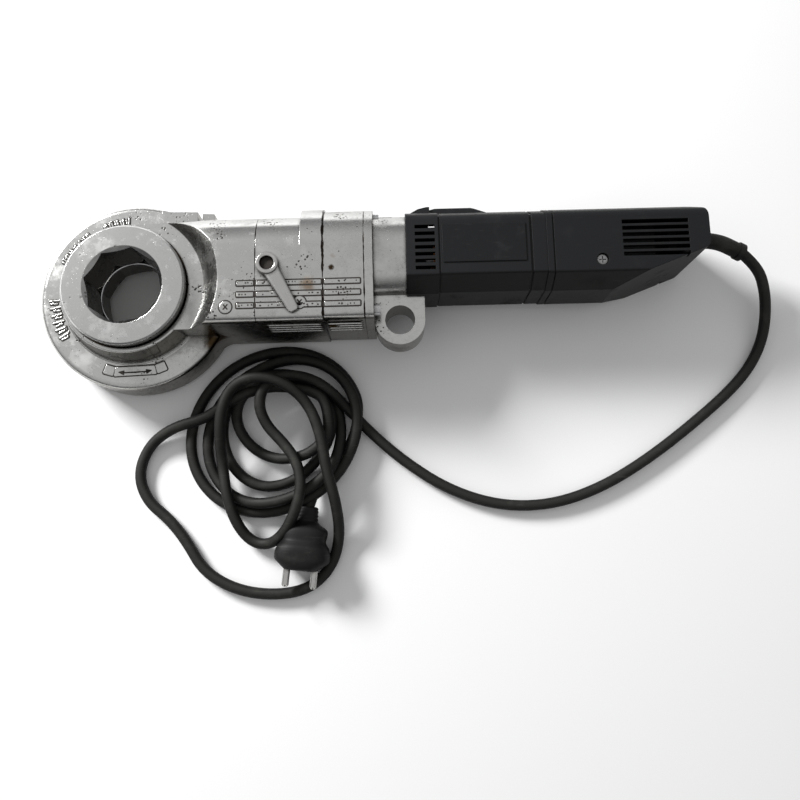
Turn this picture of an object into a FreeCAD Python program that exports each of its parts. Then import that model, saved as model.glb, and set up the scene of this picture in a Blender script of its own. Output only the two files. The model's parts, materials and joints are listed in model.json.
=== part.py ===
import FreeCAD, Part
import math
import os
from types import SimpleNamespace

import Sketcher
from FreeCAD import Placement, Rotation, Vector

# Electric pipe threading machine, lying on its back, with its mains lead and plug.
# Origin: on the drive ring's axis, at the level of the back face that it rests on.
# +X runs along the tool to the handle, +Z points out of the drive ring's front.

doc = FreeCAD.newDocument("threading_machine")
sheet = doc.addObject("Spreadsheet::Sheet", "Dims")

DIMENSIONS = {
    # head casting
    "cup_r": 66.0, "cup_top_z": 31.0, "cup_edge_r": 4.0, "back_edge_r": 6.0,
    "collar_foot_r": 47.7, "collar_top_r": 44.6, "collar_top_z": 50.0,
    "body_low_y": -30.0, "body_high_y": 49.0, "body_top_z": 68.0, "body_corner_r": 30.0,
    "body_low_corner_r": 7.0, "platform_r": 52.5, "platform_cone_r": 65.6, "neck_blend_r": 15.0,
    # drive ring
    "ring_bottom_z": 7.0, "ring_top_z": 58.0, "neck_r": 38.5, "ring_head_r": 41.2,
    "ring_head_z": 46.6, "ring_face_r": 40.0, "socket_across_flats": 48.5, "socket_turn_deg": 11.0,
    "mouth_r": 26.9, "spring_groove_z": 27.0, "spring_wire_r": 1.0, "spring_ring_r": 24.7,
    # bushes, cover
    "bush_outer_r": 41.6, "bush_gap": 0.05, "gear_pocket_r": 57.0, "gear_pocket_top_z": 26.5,
    "cover_r": 58.0, "cover_thick": 5.0, "cover_hole_r": 31.0,
    # gear train
    "final_module": 1.5, "ring_teeth": 72.0, "pinion_teeth": 12.0, "final_low_z": 14.0,
    "final_high_z": 26.0, "bevel_module": 1.5, "bevel_wheel_teeth": 20.0, "bevel_pinion_teeth": 10.0,
    "bevel_face": 5.5, "reduction_module": 1.0, "output_teeth": 30.0, "lay_pinion_teeth": 14.0,
    "lay_wheel_teeth": 34.0, "motor_pinion_teeth": 10.0, "gear_play": 0.12,
    # shafts
    "motor_axis_y": 19.0, "shaft_z": 33.0, "lay_axis_y": -3.0, "bevel_shaft_r": 5.0,
    "lay_shaft_r": 4.0, "motor_shaft_r": 4.0, "pinion_shaft_r": 4.0,
    # cases along the tool
    "joint_head_x": 90.0, "joint_case_x": 134.0, "joint_plate_x": 161.0, "flange_end_x": 167.0,
    "flange_barrel_r": 30.7, "motor_start_x": 189.0, "case_wall": 4.0, "wide_high_y": 54.0,
    "wide_low_y": -29.0, "wide_corner_r": 34.0, "block_start_x": 119.0, "room_high_y": 36.0,
    "room_high_z": 56.0,
    # lug
    "lug_x": 184.0, "lug_y": -26.0, "lug_r": 17.0, "lug_hole_r": 10.0, "lug_low_z": 23.0,
    "lug_high_z": 46.0,
    # black housings
    "grip_low_y": -9.5, "grip_high_y": 48.0, "grip_top_z": 66.0, "grip_facet_y": 8.0,
    "grip_facet_z": 17.0, "grip_wall": 3.0, "fan_end_x": 211.0, "waist_x": 271.0,
    "motor_end_x": 282.0, "taper_start_x": 328.0, "tail_x": 390.0, "tail_low_y": 14.0,
    "tail_corner_r": 14.0,
    # motor
    "stator_outer_r": 23.5, "stator_inner_r": 17.3, "rotor_r": 16.5, "rotor_start_x": 216.0,
    "rotor_end_x": 262.0, "commutator_r": 10.5, "commutator_start_x": 272.0,
    "commutator_end_x": 288.0, "fan_r": 22.0,
    # lever and paddle
    "lever_x": 98.5, "lever_y": 6.8, "lever_reach": 36.6, "lever_angle_deg": 29.0,
    "lever_boss_r": 7.2, "spindle_r": 4.0, "lever_low_z": 68.6, "lever_high_z": 74.0,
    "paddle_start_x": 199.0, "paddle_end_x": 247.5, "paddle_half_z": 10.0, "paddle_proud_y": 54.0,
    # mains lead
    "cord_r": 3.8, "coil_x": 94.0, "coil_y": -95.5, "coil_r": 61.0,
    "coil_height": 38.0, "plug_x": 113.0, "plug_y": -183.5, "plug_turn_deg": -7.0,
    "plug_half_width": 18.6, "plug_half_height": 13.0, "pin_r": 2.4, "pin_gap": 19.0,
    "pin_length": 19.0,
}


class Size:
    """A length that keeps the sheet expression it was worked out from, beside its value."""

    def __init__(self, text, value):
        self.text = text
        self.value = value

    def _with(self, other, sign, swap=False):
        other = other if isinstance(other, Size) else Size(repr(float(other)), float(other))
        left, right = (other, self) if swap else (self, other)
        results = {
            "+": left.value + right.value,
            "-": left.value - right.value,
            "*": left.value * right.value,
            "/": left.value / right.value if right.value else 0.0,
        }
        return Size("(" + left.text + " " + sign + " " + right.text + ")", results[sign])

    def __add__(self, other):
        return self._with(other, "+")

    def __radd__(self, other):
        return self._with(other, "+", True)

    def __sub__(self, other):
        return self._with(other, "-")

    def __rsub__(self, other):
        return self._with(other, "-", True)

    def __mul__(self, other):
        return self._with(other, "*")

    def __rmul__(self, other):
        return self._with(other, "*", True)

    def __truediv__(self, other):
        return self._with(other, "/")

    def __neg__(self):
        return self._with(-1.0, "*")

    def __float__(self):
        return float(self.value)


sizes = {}
for row, (alias, number) in enumerate(DIMENSIONS.items(), start=1):
    sheet.set("A%d" % row, alias)
    sheet.set("B%d" % row, repr(number))
    sheet.setAlias("B%d" % row, alias)
    sizes[alias] = Size("Dims." + alias, number)
d = SimpleNamespace(**sizes)
doc.recompute()

PARTS = []
AXIS_TURN = {
    "x": Rotation(Vector(0, 1, 0), 90),
    "y": Rotation(Vector(1, 0, 0), -90),
    "z": Rotation(),
}


# ---------------------------------------------------------------- helpers
def bind(item, prop, size):
    """Give a property its value, and its sheet expression where the size has one."""
    if isinstance(size, Size):
        item.setExpression(prop, size.text)
    else:
        setattr(item, prop, size)


def place(item, at, axis="z"):
    item.Placement = Placement(Vector(*[float(value) for value in at]), AXIS_TURN[axis])
    for letter, value in zip("xyz", at):
        if isinstance(value, Size):
            bind(item, "Placement.Base." + letter, value)


def cylinder(name, radius, length, at, axis="z"):
    item = doc.addObject("Part::Cylinder", name)
    bind(item, "Radius", radius)
    bind(item, "Height", length)
    place(item, at, axis)
    return item


def cone(name, radius_start, radius_end, length, at, axis="z"):
    item = doc.addObject("Part::Cone", name)
    bind(item, "Radius1", radius_start)
    bind(item, "Radius2", radius_end)
    bind(item, "Height", length)
    place(item, at, axis)
    return item


def torus(name, ring_radius, wire_radius, at, axis="z"):
    item = doc.addObject("Part::Torus", name)
    bind(item, "Radius1", ring_radius)
    bind(item, "Radius2", wire_radius)
    place(item, at, axis)
    return item


def box(name, low, high):
    item = doc.addObject("Part::Box", name)
    for prop, start, end in zip(("Length", "Width", "Height"), low, high):
        bind(item, prop, end - start)
    place(item, low)
    return item


def fuse(name, pieces):
    item = doc.addObject("Part::MultiFuse", name)
    item.Shapes = pieces
    return item


def cut(name, base, tools):
    item = doc.addObject("Part::Cut", name)
    item.Base = base
    item.Tool = tools[0] if len(tools) == 1 else fuse(name + "_tools", tools)
    return item


def ring(name, outer_r, inner_r, length, at, axis="z"):
    outer = cylinder(name + "_outer", outer_r, length, at, axis)
    inner = cylinder(name + "_inner", inner_r, length, at, axis)
    return cut(name, outer, [inner])


def outline_sketch(body, name, role, points, offset=0.0):
    """A closed outline of straight sides on one of the body's own planes, every corner bound."""
    sketch = body.newObject("Sketcher::SketchObject", name)
    plane = [item for item in body.Origin.OriginFeatures if item.Role == role][0]
    sketch.AttachmentSupport = [(plane, "")]
    sketch.MapMode = "FlatFace"
    if isinstance(offset, Size):
        sketch.setExpression("AttachmentOffset.Base.z", offset.text)
    elif offset:
        sketch.AttachmentOffset = Placement(Vector(0, 0, offset), Rotation())
    corners = [Vector(float(across), float(up), 0) for across, up in points]
    count = len(corners)
    for index in range(count):
        sketch.addGeometry(Part.LineSegment(corners[index], corners[(index + 1) % count]), False)
    for index in range(count):
        sketch.addConstraint(Sketcher.Constraint("Coincident", index, 2, (index + 1) % count, 1))
    for index, pair in enumerate(points):
        for kind, letter, value in zip(("DistanceX", "DistanceY"), "uv", pair):
            number = sketch.addConstraint(Sketcher.Constraint(kind, index, 1, float(value)))
            sketch.renameConstraint(number, letter + str(index))
            if isinstance(value, Size):
                sketch.setExpression("Constraints." + letter + str(index), value.text)
    return sketch


def prism(name, role, points, start, length):
    """PartDesign body: an outline padded along its plane's normal, from start."""
    body = doc.addObject("PartDesign::Body", name)
    sketch = outline_sketch(body, name + "_outline", role, points, start)
    pad = body.newObject("PartDesign::Pad", name + "_pad")
    pad.Profile = sketch
    bind(pad, "Length", length)
    doc.recompute()
    return body


def turned(name, points, role="XZ_Plane", axis="V_Axis"):
    """PartDesign body: an outline of radius and height turned about a sketch axis."""
    body = doc.addObject("PartDesign::Body", name)
    sketch = outline_sketch(body, name + "_profile", role, points)
    turn = body.newObject("PartDesign::Revolution", name + "_turn")
    turn.Profile = sketch
    turn.ReferenceAxis = (sketch, [axis])
    turn.Angle = 360.0
    doc.recompute()
    return body


def round_edges(body, name, radius, wanted):
    """Fillet the tip's edges that the test picks."""
    tip = body.Tip
    names = ["Edge%d" % (n + 1) for n, edge in enumerate(tip.Shape.Edges) if wanted(edge)]
    item = body.newObject("PartDesign::Fillet", name)
    item.Base = (tip, names)
    bind(item, "Radius", radius)
    doc.recompute()
    return item


def free_shape(name, shape, placement=None):
    """A shape that neither sketches nor primitives suit, such as a gear or a bent tube."""
    item = doc.addObject("Part::Feature", name)
    item.Shape = shape
    item.Placement = placement or Placement()
    return item


def keep(item, label=None):
    item.Label = label or item.Name
    PARTS.append(item)
    return item


def along_x(edge, y=None, z=None, near=0.6):
    """True for a straight edge along X, near the given Y and Z."""
    extent = edge.BoundBox
    if extent.YLength > 1e-4 or extent.ZLength > 1e-4 or extent.XLength < 1.0:
        return False
    matches_y = y is None or abs(extent.YMin - float(y)) < near
    matches_z = z is None or abs(extent.ZMin - float(z)) < near
    return matches_y and matches_z


def at_height(edge, z, near=1e-3):
    return abs(edge.BoundBox.ZMin - float(z)) < near and abs(edge.BoundBox.ZMax - float(z)) < near


# ---------------------------------------------------------------- gears
PRESSURE = math.radians(25.0)
ADDENDUM = 0.8
DEDENDUM = 1.05


def involute(angle):
    return math.tan(angle) - angle


def tooth_flank(teeth, module, play):
    """Radius and half angle of one tooth, root to tip, for full-form stub teeth."""
    pitch_r = teeth * module / 2.0
    base_r = pitch_r * math.cos(PRESSURE)
    root_r = pitch_r - DEDENDUM * module
    tip_r = pitch_r + ADDENDUM * module
    half_at_pitch = math.pi / (2.0 * teeth) - play / (2.0 * pitch_r)
    flank = []
    start = max(root_r, base_r)
    if root_r < base_r:
        flank.append((root_r, half_at_pitch + involute(PRESSURE)))
    for step in range(5):
        radius = start + (tip_r - start) * step / 4.0
        angle = math.acos(min(1.0, base_r / radius))
        flank.append((radius, half_at_pitch + involute(PRESSURE) - involute(angle)))
    return flank


def spur_gear(teeth, module, thickness, bore_r, tooth_at):
    """Spur gear about Z from z = 0, with one tooth's middle at the angle tooth_at."""
    teeth = int(float(teeth))
    flank = tooth_flank(teeth, float(module), float(d.gear_play))
    points = []
    for number in range(teeth):
        middle = tooth_at + 2.0 * math.pi * number / teeth
        for radius, half in flank:
            points.append(Vector(radius * math.cos(middle - half), radius * math.sin(middle - half), 0))
        for radius, half in reversed(flank):
            points.append(Vector(radius * math.cos(middle + half), radius * math.sin(middle + half), 0))
    points.append(points[0])
    solid = Part.Face(Part.makePolygon(points)).extrude(Vector(0, 0, float(thickness)))
    return solid.cut(Part.makeCylinder(float(bore_r), float(thickness)))


def bevel_gear(teeth, mate_teeth, module, face, tooth_at):
    """Straight bevel gear about Z with its pitch cones' apex at the origin, opening along +Z.

    The profile is drawn on the back cone (virtual teeth) and scaled towards the apex."""
    teeth = int(float(teeth))
    pitch_r = teeth * float(module) / 2.0
    cone_angle = math.atan2(teeth, float(mate_teeth))
    distance = pitch_r / math.sin(cone_angle)
    flank = tooth_flank(teeth / math.cos(cone_angle), float(module), 2.0 * float(d.gear_play))
    outline = []
    for number in range(teeth):
        middle = tooth_at + 2.0 * math.pi * number / teeth
        sides = [(radius, -half) for radius, half in flank]
        sides += [(radius, half) for radius, half in reversed(flank)]
        for radius, half in sides:
            angle = middle + half / math.cos(cone_angle)
            out = radius * math.cos(cone_angle)
            up = distance / math.cos(cone_angle) - radius * math.sin(cone_angle)
            outline.append(Vector(out * math.cos(angle), out * math.sin(angle), up))
    small = (distance - float(face)) / distance
    inner = [point * small for point in outline]
    centre_big = Vector(0, 0, sum(point.z for point in outline) / len(outline))
    centre_small = centre_big * small
    faces = []
    count = len(outline)
    for index in range(count):
        after = (index + 1) % count
        corners = [
            [outline[index], outline[after], inner[after], inner[index]],
            [centre_big, outline[index], outline[after]],
            [centre_small, inner[index], inner[after]],
        ]
        for loop in corners:
            faces.append(Part.Face(Part.makePolygon(loop + [loop[0]])))
    solid = Part.makeSolid(Part.makeShell(faces))
    if solid.Volume < 0:
        solid.reverse()
    return solid


def root(size):
    return Size("sqrt(" + size.text + ")", math.sqrt(size.value))


# ---------------------------------------------------------------- places worked out from the sheet
centre_gap = d.final_module * (d.ring_teeth + d.pinion_teeth) / 2
pinion_x = root(centre_gap * centre_gap - d.motor_axis_y * d.motor_axis_y)
bevel_wheel_r = d.bevel_module * d.bevel_wheel_teeth / 2
bevel_pinion_r = d.bevel_module * d.bevel_pinion_teeth / 2
pinion_angle = math.atan2(float(d.motor_axis_y), float(pinion_x))


# ---------------------------------------------------------------- head casting
def head_outer():
    """Cup for the ring gear, collar round the drive ring, neck towards the handle, and side lip."""
    cup = turned("head_cup", [
        (0.0, 0.0), (d.cup_r, 0.0), (d.cup_r, d.cup_top_z), (d.collar_foot_r, d.cup_top_z),
        (d.collar_top_r, d.collar_top_z), (0.0, d.collar_top_z)])

    def circle_edge(radius, height):
        return lambda e: at_height(e, height) and abs(e.BoundBox.XMax - float(radius)) < 0.1

    round_edges(cup, "head_back_edge", d.back_edge_r, circle_edge(d.cup_r, 0.0))
    round_edges(cup, "head_cup_edge", d.cup_edge_r, circle_edge(d.cup_r, d.cup_top_z))
    round_edges(cup, "head_collar_foot", 2.5, circle_edge(d.collar_foot_r, d.cup_top_z))
    round_edges(cup, "head_collar_top", 1.4, circle_edge(d.collar_top_r, d.collar_top_z))
    neck = prism("head_neck", "XY_Plane", [
        (0.0, 46.0), (58.0, d.body_high_y), (d.joint_head_x, d.body_high_y),
        (d.joint_head_x, d.body_low_y), (0.0, d.body_low_y)], 0.0, d.body_top_z)

    def long_edge(height, high_side):
        def test(e):
            side = e.BoundBox.YMin > 45.0 if high_side else e.BoundBox.YMax < -29.0
            return at_height(e, height) and side and e.BoundBox.XLength > 1.0
        return test

    round_edges(neck, "head_neck_high_corner", d.body_corner_r, long_edge(d.body_top_z, True))
    round_edges(neck, "head_neck_low_corner", d.body_low_corner_r, long_edge(d.body_top_z, False))
    round_edges(neck, "head_neck_back_high", d.back_edge_r, long_edge(0.0, True))
    round_edges(neck, "head_neck_back_low", d.back_edge_r, long_edge(0.0, False))
    lip = prism("head_lip", "XY_Plane", [
        (10.0, 36.0), (18.0, 62.2), (24.0, 60.9), (43.0, 60.3), (43.0, 36.0)],
        d.back_edge_r + 1.0, d.cup_top_z - d.back_edge_r - 1.0)
    lug = prism("head_lip_lug", "XY_Plane", [
        (45.6, 46.0), (45.6, 60.2), (54.0, 59.8), (54.0, 46.0)], 6.0, d.cup_top_z - 9.0)
    blend_centre_y = d.body_low_y - d.neck_blend_r
    blend_reach = d.cup_r + d.neck_blend_r - 0.4
    blend_centre_x = root(blend_reach * blend_reach - blend_centre_y * blend_centre_y)
    share = (d.cup_r - 3.0) / blend_reach
    web = prism("head_blend_web", "XY_Plane", [
        (44.0, -24.0), (blend_centre_x, -24.0), (blend_centre_x, blend_centre_y),
        (blend_centre_x * share, blend_centre_y * share)],
        d.back_edge_r + 0.5, d.cup_top_z - d.cup_edge_r - d.back_edge_r - 1.0)
    hollow = cylinder("head_blend_round", d.neck_blend_r, 80.0,
                      (blend_centre_x, blend_centre_y, -10.0))
    blend = cut("head_blend", web, [hollow])
    return fuse("head_outer", [cup, neck, lip, lug, blend])


def head_housing():
    """The head casting with its cavities: drive ring bore, gear pocket, bevel chamber."""
    outer = head_outer()
    platform = turned("head_platform", [
        (0.0, d.collar_top_z), (d.platform_r, d.collar_top_z), (d.platform_cone_r, d.body_top_z),
        (d.platform_cone_r, 90.0), (0.0, 90.0)])
    mouth_clear = 0.4
    tools = [
        platform,
        cylinder("head_ring_bore", d.bush_outer_r, 90.0, (0.0, 0.0, 5.0)),
        cylinder("head_ring_mouth", d.bush_outer_r + mouth_clear, 20.0, (0.0, 0.0, 46.0)),
        cylinder("head_gear_pocket", d.gear_pocket_r, d.gear_pocket_top_z - 1.0, (0.0, 0.0, 1.0)),
        cylinder("head_cover_seat", d.cover_r, d.cover_thick + 1.0, (0.0, 0.0, -1.0)),
        cylinder("head_pinion_seat", 16.2, d.cover_thick + 1.0, (pinion_x, d.motor_axis_y, -1.0)),
        cylinder("head_pinion_pocket", 12.0, 30.0, (pinion_x, d.motor_axis_y, 1.0)),
        cylinder("head_bevel_chamber", 17.6, 17.2, (pinion_x, d.motor_axis_y, 28.3)),
        cylinder("head_top_bearing_seat", 8.0, 5.0, (pinion_x, d.motor_axis_y, 45.5)),
        cylinder("head_shaft_tunnel", 11.0, 40.0, (pinion_x, d.motor_axis_y, d.shaft_z), "x"),
    ]
    return keep(cut("head_housing", outer, tools))


def back_cover():
    """Plate over the gear pocket, with the lower bush's boss and the pinion's lower bearing."""
    hole_r = d.cover_hole_r
    disc = turned("cover_disc", [
        (hole_r, 0.0), (d.cover_r - 0.1, 0.0), (d.cover_r - 0.1, d.cover_thick),
        (d.bush_outer_r + 3.4, d.cover_thick), (d.bush_outer_r + 3.4, 13.4),
        (hole_r, 13.4)])
    lobe = cylinder("cover_lobe", 16.1, d.cover_thick, (pinion_x, d.motor_axis_y, 0.0))
    boss = cylinder("cover_boss", 11.0, 8.5, (pinion_x, d.motor_axis_y, 0.0))
    blank = fuse("cover_blank", [disc, lobe, boss])
    tools = [
        cylinder("cover_bush_bore", d.bush_outer_r, 20.0, (0.0, 0.0, d.ring_bottom_z - 0.5)),
        cylinder("cover_bearing_seat", 8.0, 20.0, (pinion_x, d.motor_axis_y, 3.5)),
    ]
    for number in range(6):
        angle = math.radians(60.0 * number + 50.0)
        tools.append(cylinder("cover_hole_%d" % number, 1.6, 20.0,
                              (51.5 * math.cos(angle), 51.5 * math.sin(angle), -1.0)))
    return keep(cut("back_cover", blank, tools))


# ---------------------------------------------------------------- drive ring
def drive_ring():
    """The hub that carries the die head: turned outside, eight-sided socket through it."""
    hub = turned("ring_hub", [
        (0.0, d.ring_bottom_z), (d.neck_r, d.ring_bottom_z), (d.neck_r, d.ring_head_z),
        (d.ring_head_r, d.ring_head_z), (d.ring_head_r, d.ring_top_z - 1.2),
        (d.ring_face_r, d.ring_top_z), (0.0, d.ring_top_z)])
    corner_r = d.socket_across_flats / (2.0 * math.cos(math.radians(22.5)))
    corners = []
    for number in range(8):
        angle = math.radians(22.5 + 45.0 * number + float(d.socket_turn_deg))
        corners.append((corner_r * math.cos(angle), corner_r * math.sin(angle)))
    socket = prism("ring_socket", "XY_Plane", corners, 0.0, 70.0)
    lead_in = 3.4
    tools = [
        socket,
        cone("ring_mouth", d.mouth_r - lead_in, d.mouth_r, lead_in, (0.0, 0.0, d.ring_top_z - lead_in)),
        cone("ring_tail", d.mouth_r, d.mouth_r - lead_in, lead_in, (0.0, 0.0, d.ring_bottom_z)),
        cylinder("ring_spring_groove", d.spring_ring_r + 1.5, 2.4,
                 (0.0, 0.0, d.spring_groove_z - 1.2)),
    ]
    return keep(cut("drive_ring", hub, tools))


def retaining_spring_ring():
    """Open wire ring in the socket's groove; it snaps over the die head."""
    wire = torus("retaining_spring_ring", d.spring_ring_r, d.spring_wire_r,
                 (0.0, 0.0, d.spring_groove_z))
    wire.Angle3 = 330.0
    return keep(wire)


def ring_gear():
    shape = spur_gear(d.ring_teeth, d.final_module, d.final_high_z - d.final_low_z,
                      d.neck_r, pinion_angle)
    return keep(free_shape("ring_gear", shape, Placement(Vector(0, 0, float(d.final_low_z)), Rotation())))


def ring_bushes():
    bore = d.neck_r + d.bush_gap
    keep(ring("upper_bush", d.bush_outer_r, bore, 18.0, (0.0, 0.0, 26.9)))
    keep(ring("lower_bush", d.bush_outer_r, bore, 6.2, (0.0, 0.0, 7.2)))


# ---------------------------------------------------------------- pinion and bevel drive
def turned_to_x(x, y):
    return Placement(Vector(float(x), float(y), float(d.shaft_z)), AXIS_TURN["x"])


def pinion_stack():
    """Upright shaft with the drive pinion below and the bevel wheel above."""
    at = (pinion_x, d.motor_axis_y)
    keep(cylinder("pinion_shaft", d.pinion_shaft_r, 46.4, at + (4.0,)))
    facing_ring = pinion_angle + math.pi + math.pi / float(d.pinion_teeth)
    pinion = spur_gear(d.pinion_teeth, d.final_module, d.final_high_z - d.final_low_z,
                       d.pinion_shaft_r, facing_ring)
    keep(free_shape("drive_pinion", pinion,
                    Placement(Vector(float(at[0]), float(at[1]), float(d.final_low_z)), Rotation())))
    wheel = bevel_gear(d.bevel_wheel_teeth, d.bevel_pinion_teeth, d.bevel_module, d.bevel_face, 0.0)
    hub = Part.makeCylinder(8.5, 6.5, Vector(0, 0, 5.8))
    wheel = wheel.fuse(hub).cut(Part.makeCylinder(float(d.pinion_shaft_r), 40.0, Vector(0, 0, -5)))
    keep(free_shape("bevel_wheel", wheel,
                    Placement(Vector(float(at[0]), float(at[1]), float(d.shaft_z)), Rotation())))
    bore = d.pinion_shaft_r + d.bush_gap
    lower = ring("pinion_bearing_low", 8.0, bore, 5.0, at + (3.5,))
    upper = ring("pinion_bearing_high", 8.0, bore, 5.0, at + (45.5,))
    keep(fuse("pinion_bearings", [lower, upper]))


def bevel_shaft():
    """Pinion cut on its own shaft, with the output gear on the shaft's tail."""
    gap_up = math.pi + math.pi / float(d.bevel_pinion_teeth)
    teeth = bevel_gear(d.bevel_pinion_teeth, d.bevel_wheel_teeth, d.bevel_module, d.bevel_face, gap_up)
    collar = Part.makeCylinder(6.3, 13.5, Vector(0, 0, 16.2))
    length = 122.2 - float(pinion_x)
    shaft = Part.makeCylinder(float(d.bevel_shaft_r), length - 14.6, Vector(0, 0, 14.6))
    keep(free_shape("bevel_pinion_shaft", teeth.fuse(collar).fuse(shaft),
                    turned_to_x(pinion_x, d.motor_axis_y)))
    gear = spur_gear(d.output_teeth, d.reduction_module, 10.0, d.bevel_shaft_r, -math.pi / 2.0)
    keep(free_shape("output_gear", gear, turned_to_x(99.5, d.motor_axis_y)))
    bore = d.bevel_shaft_r + d.bush_gap
    front = ring("bevel_bearing_front", 10.0, bore, 6.0, (91.0, d.motor_axis_y, d.shaft_z), "x")
    rear = ring("bevel_bearing_rear", 10.0, bore, 6.0, (116.0, d.motor_axis_y, d.shaft_z), "x")
    keep(fuse("bevel_shaft_bearings", [front, rear]))


def countershaft():
    """Layshaft: a small pinion drives the output gear, a large wheel meets the motor pinion."""
    rod = Part.makeCylinder(float(d.lay_shaft_r), 68.6)
    pinion = spur_gear(d.lay_pinion_teeth, d.reduction_module, 12.0, 2.0,
                       math.pi / 2.0 + math.pi / float(d.lay_pinion_teeth))
    pinion.translate(Vector(0, 0, 7.0))
    keep(free_shape("countershaft", rod.fuse(pinion), turned_to_x(91.5, d.lay_axis_y)))
    wheel = spur_gear(d.lay_wheel_teeth, d.reduction_module, 8.0, d.lay_shaft_r, math.pi / 2.0)
    keep(free_shape("countershaft_wheel", wheel, turned_to_x(138.5, d.lay_axis_y)))
    bore = d.lay_shaft_r + d.bush_gap
    front = ring("lay_bearing_front", 9.0, bore, 5.0, (91.2, d.lay_axis_y, d.shaft_z), "x")
    rear = ring("lay_bearing_rear", 9.0, bore, 5.0, (155.2, d.lay_axis_y, d.shaft_z), "x")
    keep(fuse("countershaft_bearings", [front, rear]))


# ---------------------------------------------------------------- gear cases
def case_block(name, start, length, low_y, high_y, low_r, high_r):
    """Length of case with a small lower corner and a big rounded shoulder on the far side."""
    body = prism(name, "YZ_Plane", [
        (low_y, 0.0), (high_y, 0.0), (high_y, d.body_top_z), (low_y, d.body_top_z)], start, length)
    round_edges(body, name + "_shoulder", high_r, lambda e: along_x(e, high_y, d.body_top_z))
    round_edges(body, name + "_front", low_r, lambda e: along_x(e, low_y, d.body_top_z))
    round_edges(body, name + "_back", d.back_edge_r, lambda e: along_x(e, None, 0.0))
    return body


SCREW_PLACES = [(-21.5, 11.5), (-21.5, 56.0), (45.0, 14.0), (45.0, 46.0)]
SCREW_R = 2.4


def screw_holes(name, start, length):
    return [cylinder("%s_screw_hole_%d" % (name, number), SCREW_R, length, (start, y, z), "x")
            for number, (y, z) in enumerate(SCREW_PLACES)]


def gear_case():
    """Middle case: front wall with two bearing seats, an inner web, raised screw block behind."""
    main = case_block("case_main", d.joint_head_x, d.joint_case_x - d.joint_head_x,
                      d.body_low_y, d.body_high_y, d.body_low_corner_r, d.body_corner_r)
    block = case_block("case_block", d.block_start_x, d.joint_case_x - d.block_start_x,
                       10.0, d.wide_high_y + 1.5, 3.0, d.wide_corner_r)
    wall = d.case_wall
    front_room = box("case_front_room", (97.0, d.body_low_y + wall, wall),
                     (116.0, d.room_high_y, d.room_high_z))
    rear_room = box("case_rear_room", (122.0, d.body_low_y + wall + 3.0, wall + 2.0),
                    (140.0, d.room_high_y, d.room_high_z))
    tools = [
        front_room, rear_room,
        cylinder("case_bevel_seat", 10.0, 50.0, (d.joint_head_x - 1.0, d.motor_axis_y, d.shaft_z), "x"),
        cylinder("case_lay_seat", 9.0, 10.0, (91.0, d.lay_axis_y, d.shaft_z), "x"),
        cylinder("case_lay_passage", 6.5, 12.0, (112.0, d.lay_axis_y, d.shaft_z), "x"),
        cylinder("case_spindle_hole", d.spindle_r + d.bush_gap, 10.0, (d.lever_x, d.lever_y, 60.0)),
        cylinder("case_circlip_room", 6.6, 12.8, (d.lever_x, d.lever_y, 50.0)),
    ] + screw_holes("case", 118.0, 20.0)
    return keep(cut("gear_case", fuse("case_blank", [main, block]), tools))


def intermediate_plate():
    """Spacer case round the first gear stage, with a wall for the rear layshaft bearing."""
    main = case_block("plate_main", d.joint_case_x, d.joint_plate_x - d.joint_case_x,
                      d.wide_low_y, d.wide_high_y, d.body_low_corner_r, d.wide_corner_r)
    room = box("plate_room", (130.0, -22.0, 12.5), (155.0, 40.0, 54.5))
    tools = [
        room,
        cylinder("plate_lay_seat", 9.0, 5.2, (155.0, d.lay_axis_y, d.shaft_z), "x"),
        cylinder("plate_shaft_passage", 8.0, 30.0, (140.0, d.motor_axis_y, d.shaft_z), "x"),
    ] + screw_holes("plate", 120.0, 50.0)
    return keep(cut("intermediate_plate", main, tools))


def motor_flange():
    """End plate and round barrel that take the motor, with the drilled support lug on the side."""
    plate = case_block("flange_plate", d.joint_plate_x, d.flange_end_x - d.joint_plate_x,
                       d.wide_low_y, d.wide_high_y, d.body_low_corner_r, d.wide_corner_r)
    barrel = cylinder("flange_barrel", d.flange_barrel_r, d.motor_start_x - d.joint_plate_x,
                      (d.joint_plate_x, d.motor_axis_y, d.shaft_z), "x")
    lug_height = d.lug_high_z - d.lug_low_z
    lug = cylinder("flange_lug", d.lug_r, lug_height, (d.lug_x, d.lug_y, d.lug_low_z))
    neck = box("flange_lug_neck", (d.flange_end_x - 1.0, d.lug_y, d.lug_low_z),
               (d.lug_x + d.lug_r, -7.0, d.lug_high_z))
    blank = fuse("flange_blank", [plate, barrel, lug, neck])
    tools = [
        cylinder("flange_lug_hole", d.lug_hole_r, 60.0, (d.lug_x, d.lug_y, 5.0)),
        cylinder("flange_bearing_seat", 11.0, 7.0, (161.5, d.motor_axis_y, d.shaft_z), "x"),
        cylinder("flange_passage", 8.0, 20.0, (155.0, d.motor_axis_y, d.shaft_z), "x"),
        cylinder("flange_fan_room", 26.0, 30.0, (171.5, d.motor_axis_y, d.shaft_z), "x"),
    ] + screw_holes("flange", 150.0, 30.0)
    return keep(cut("motor_flange", blank, tools))


def case_screws():
    """Four long screws that clamp the flange and the spacer case to the gear case."""
    screws = []
    for number, (y, z) in enumerate(SCREW_PLACES):
        shank = cylinder("case_shank_%d" % number, SCREW_R, 47.0, (120.2, y, z), "x")
        head = cylinder("case_head_%d" % number, 4.0, 4.0, (d.flange_end_x, y, z), "x")
        socket = cylinder("case_socket_%d" % number, 2.0, 3.0, (d.flange_end_x + 2.0, y, z), "x")
        screws.append(cut("case_screw_%d" % number, fuse("case_screw_blank_%d" % number, [shank, head]),
                          [socket]))
    return keep(fuse("case_screws", screws))


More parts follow.
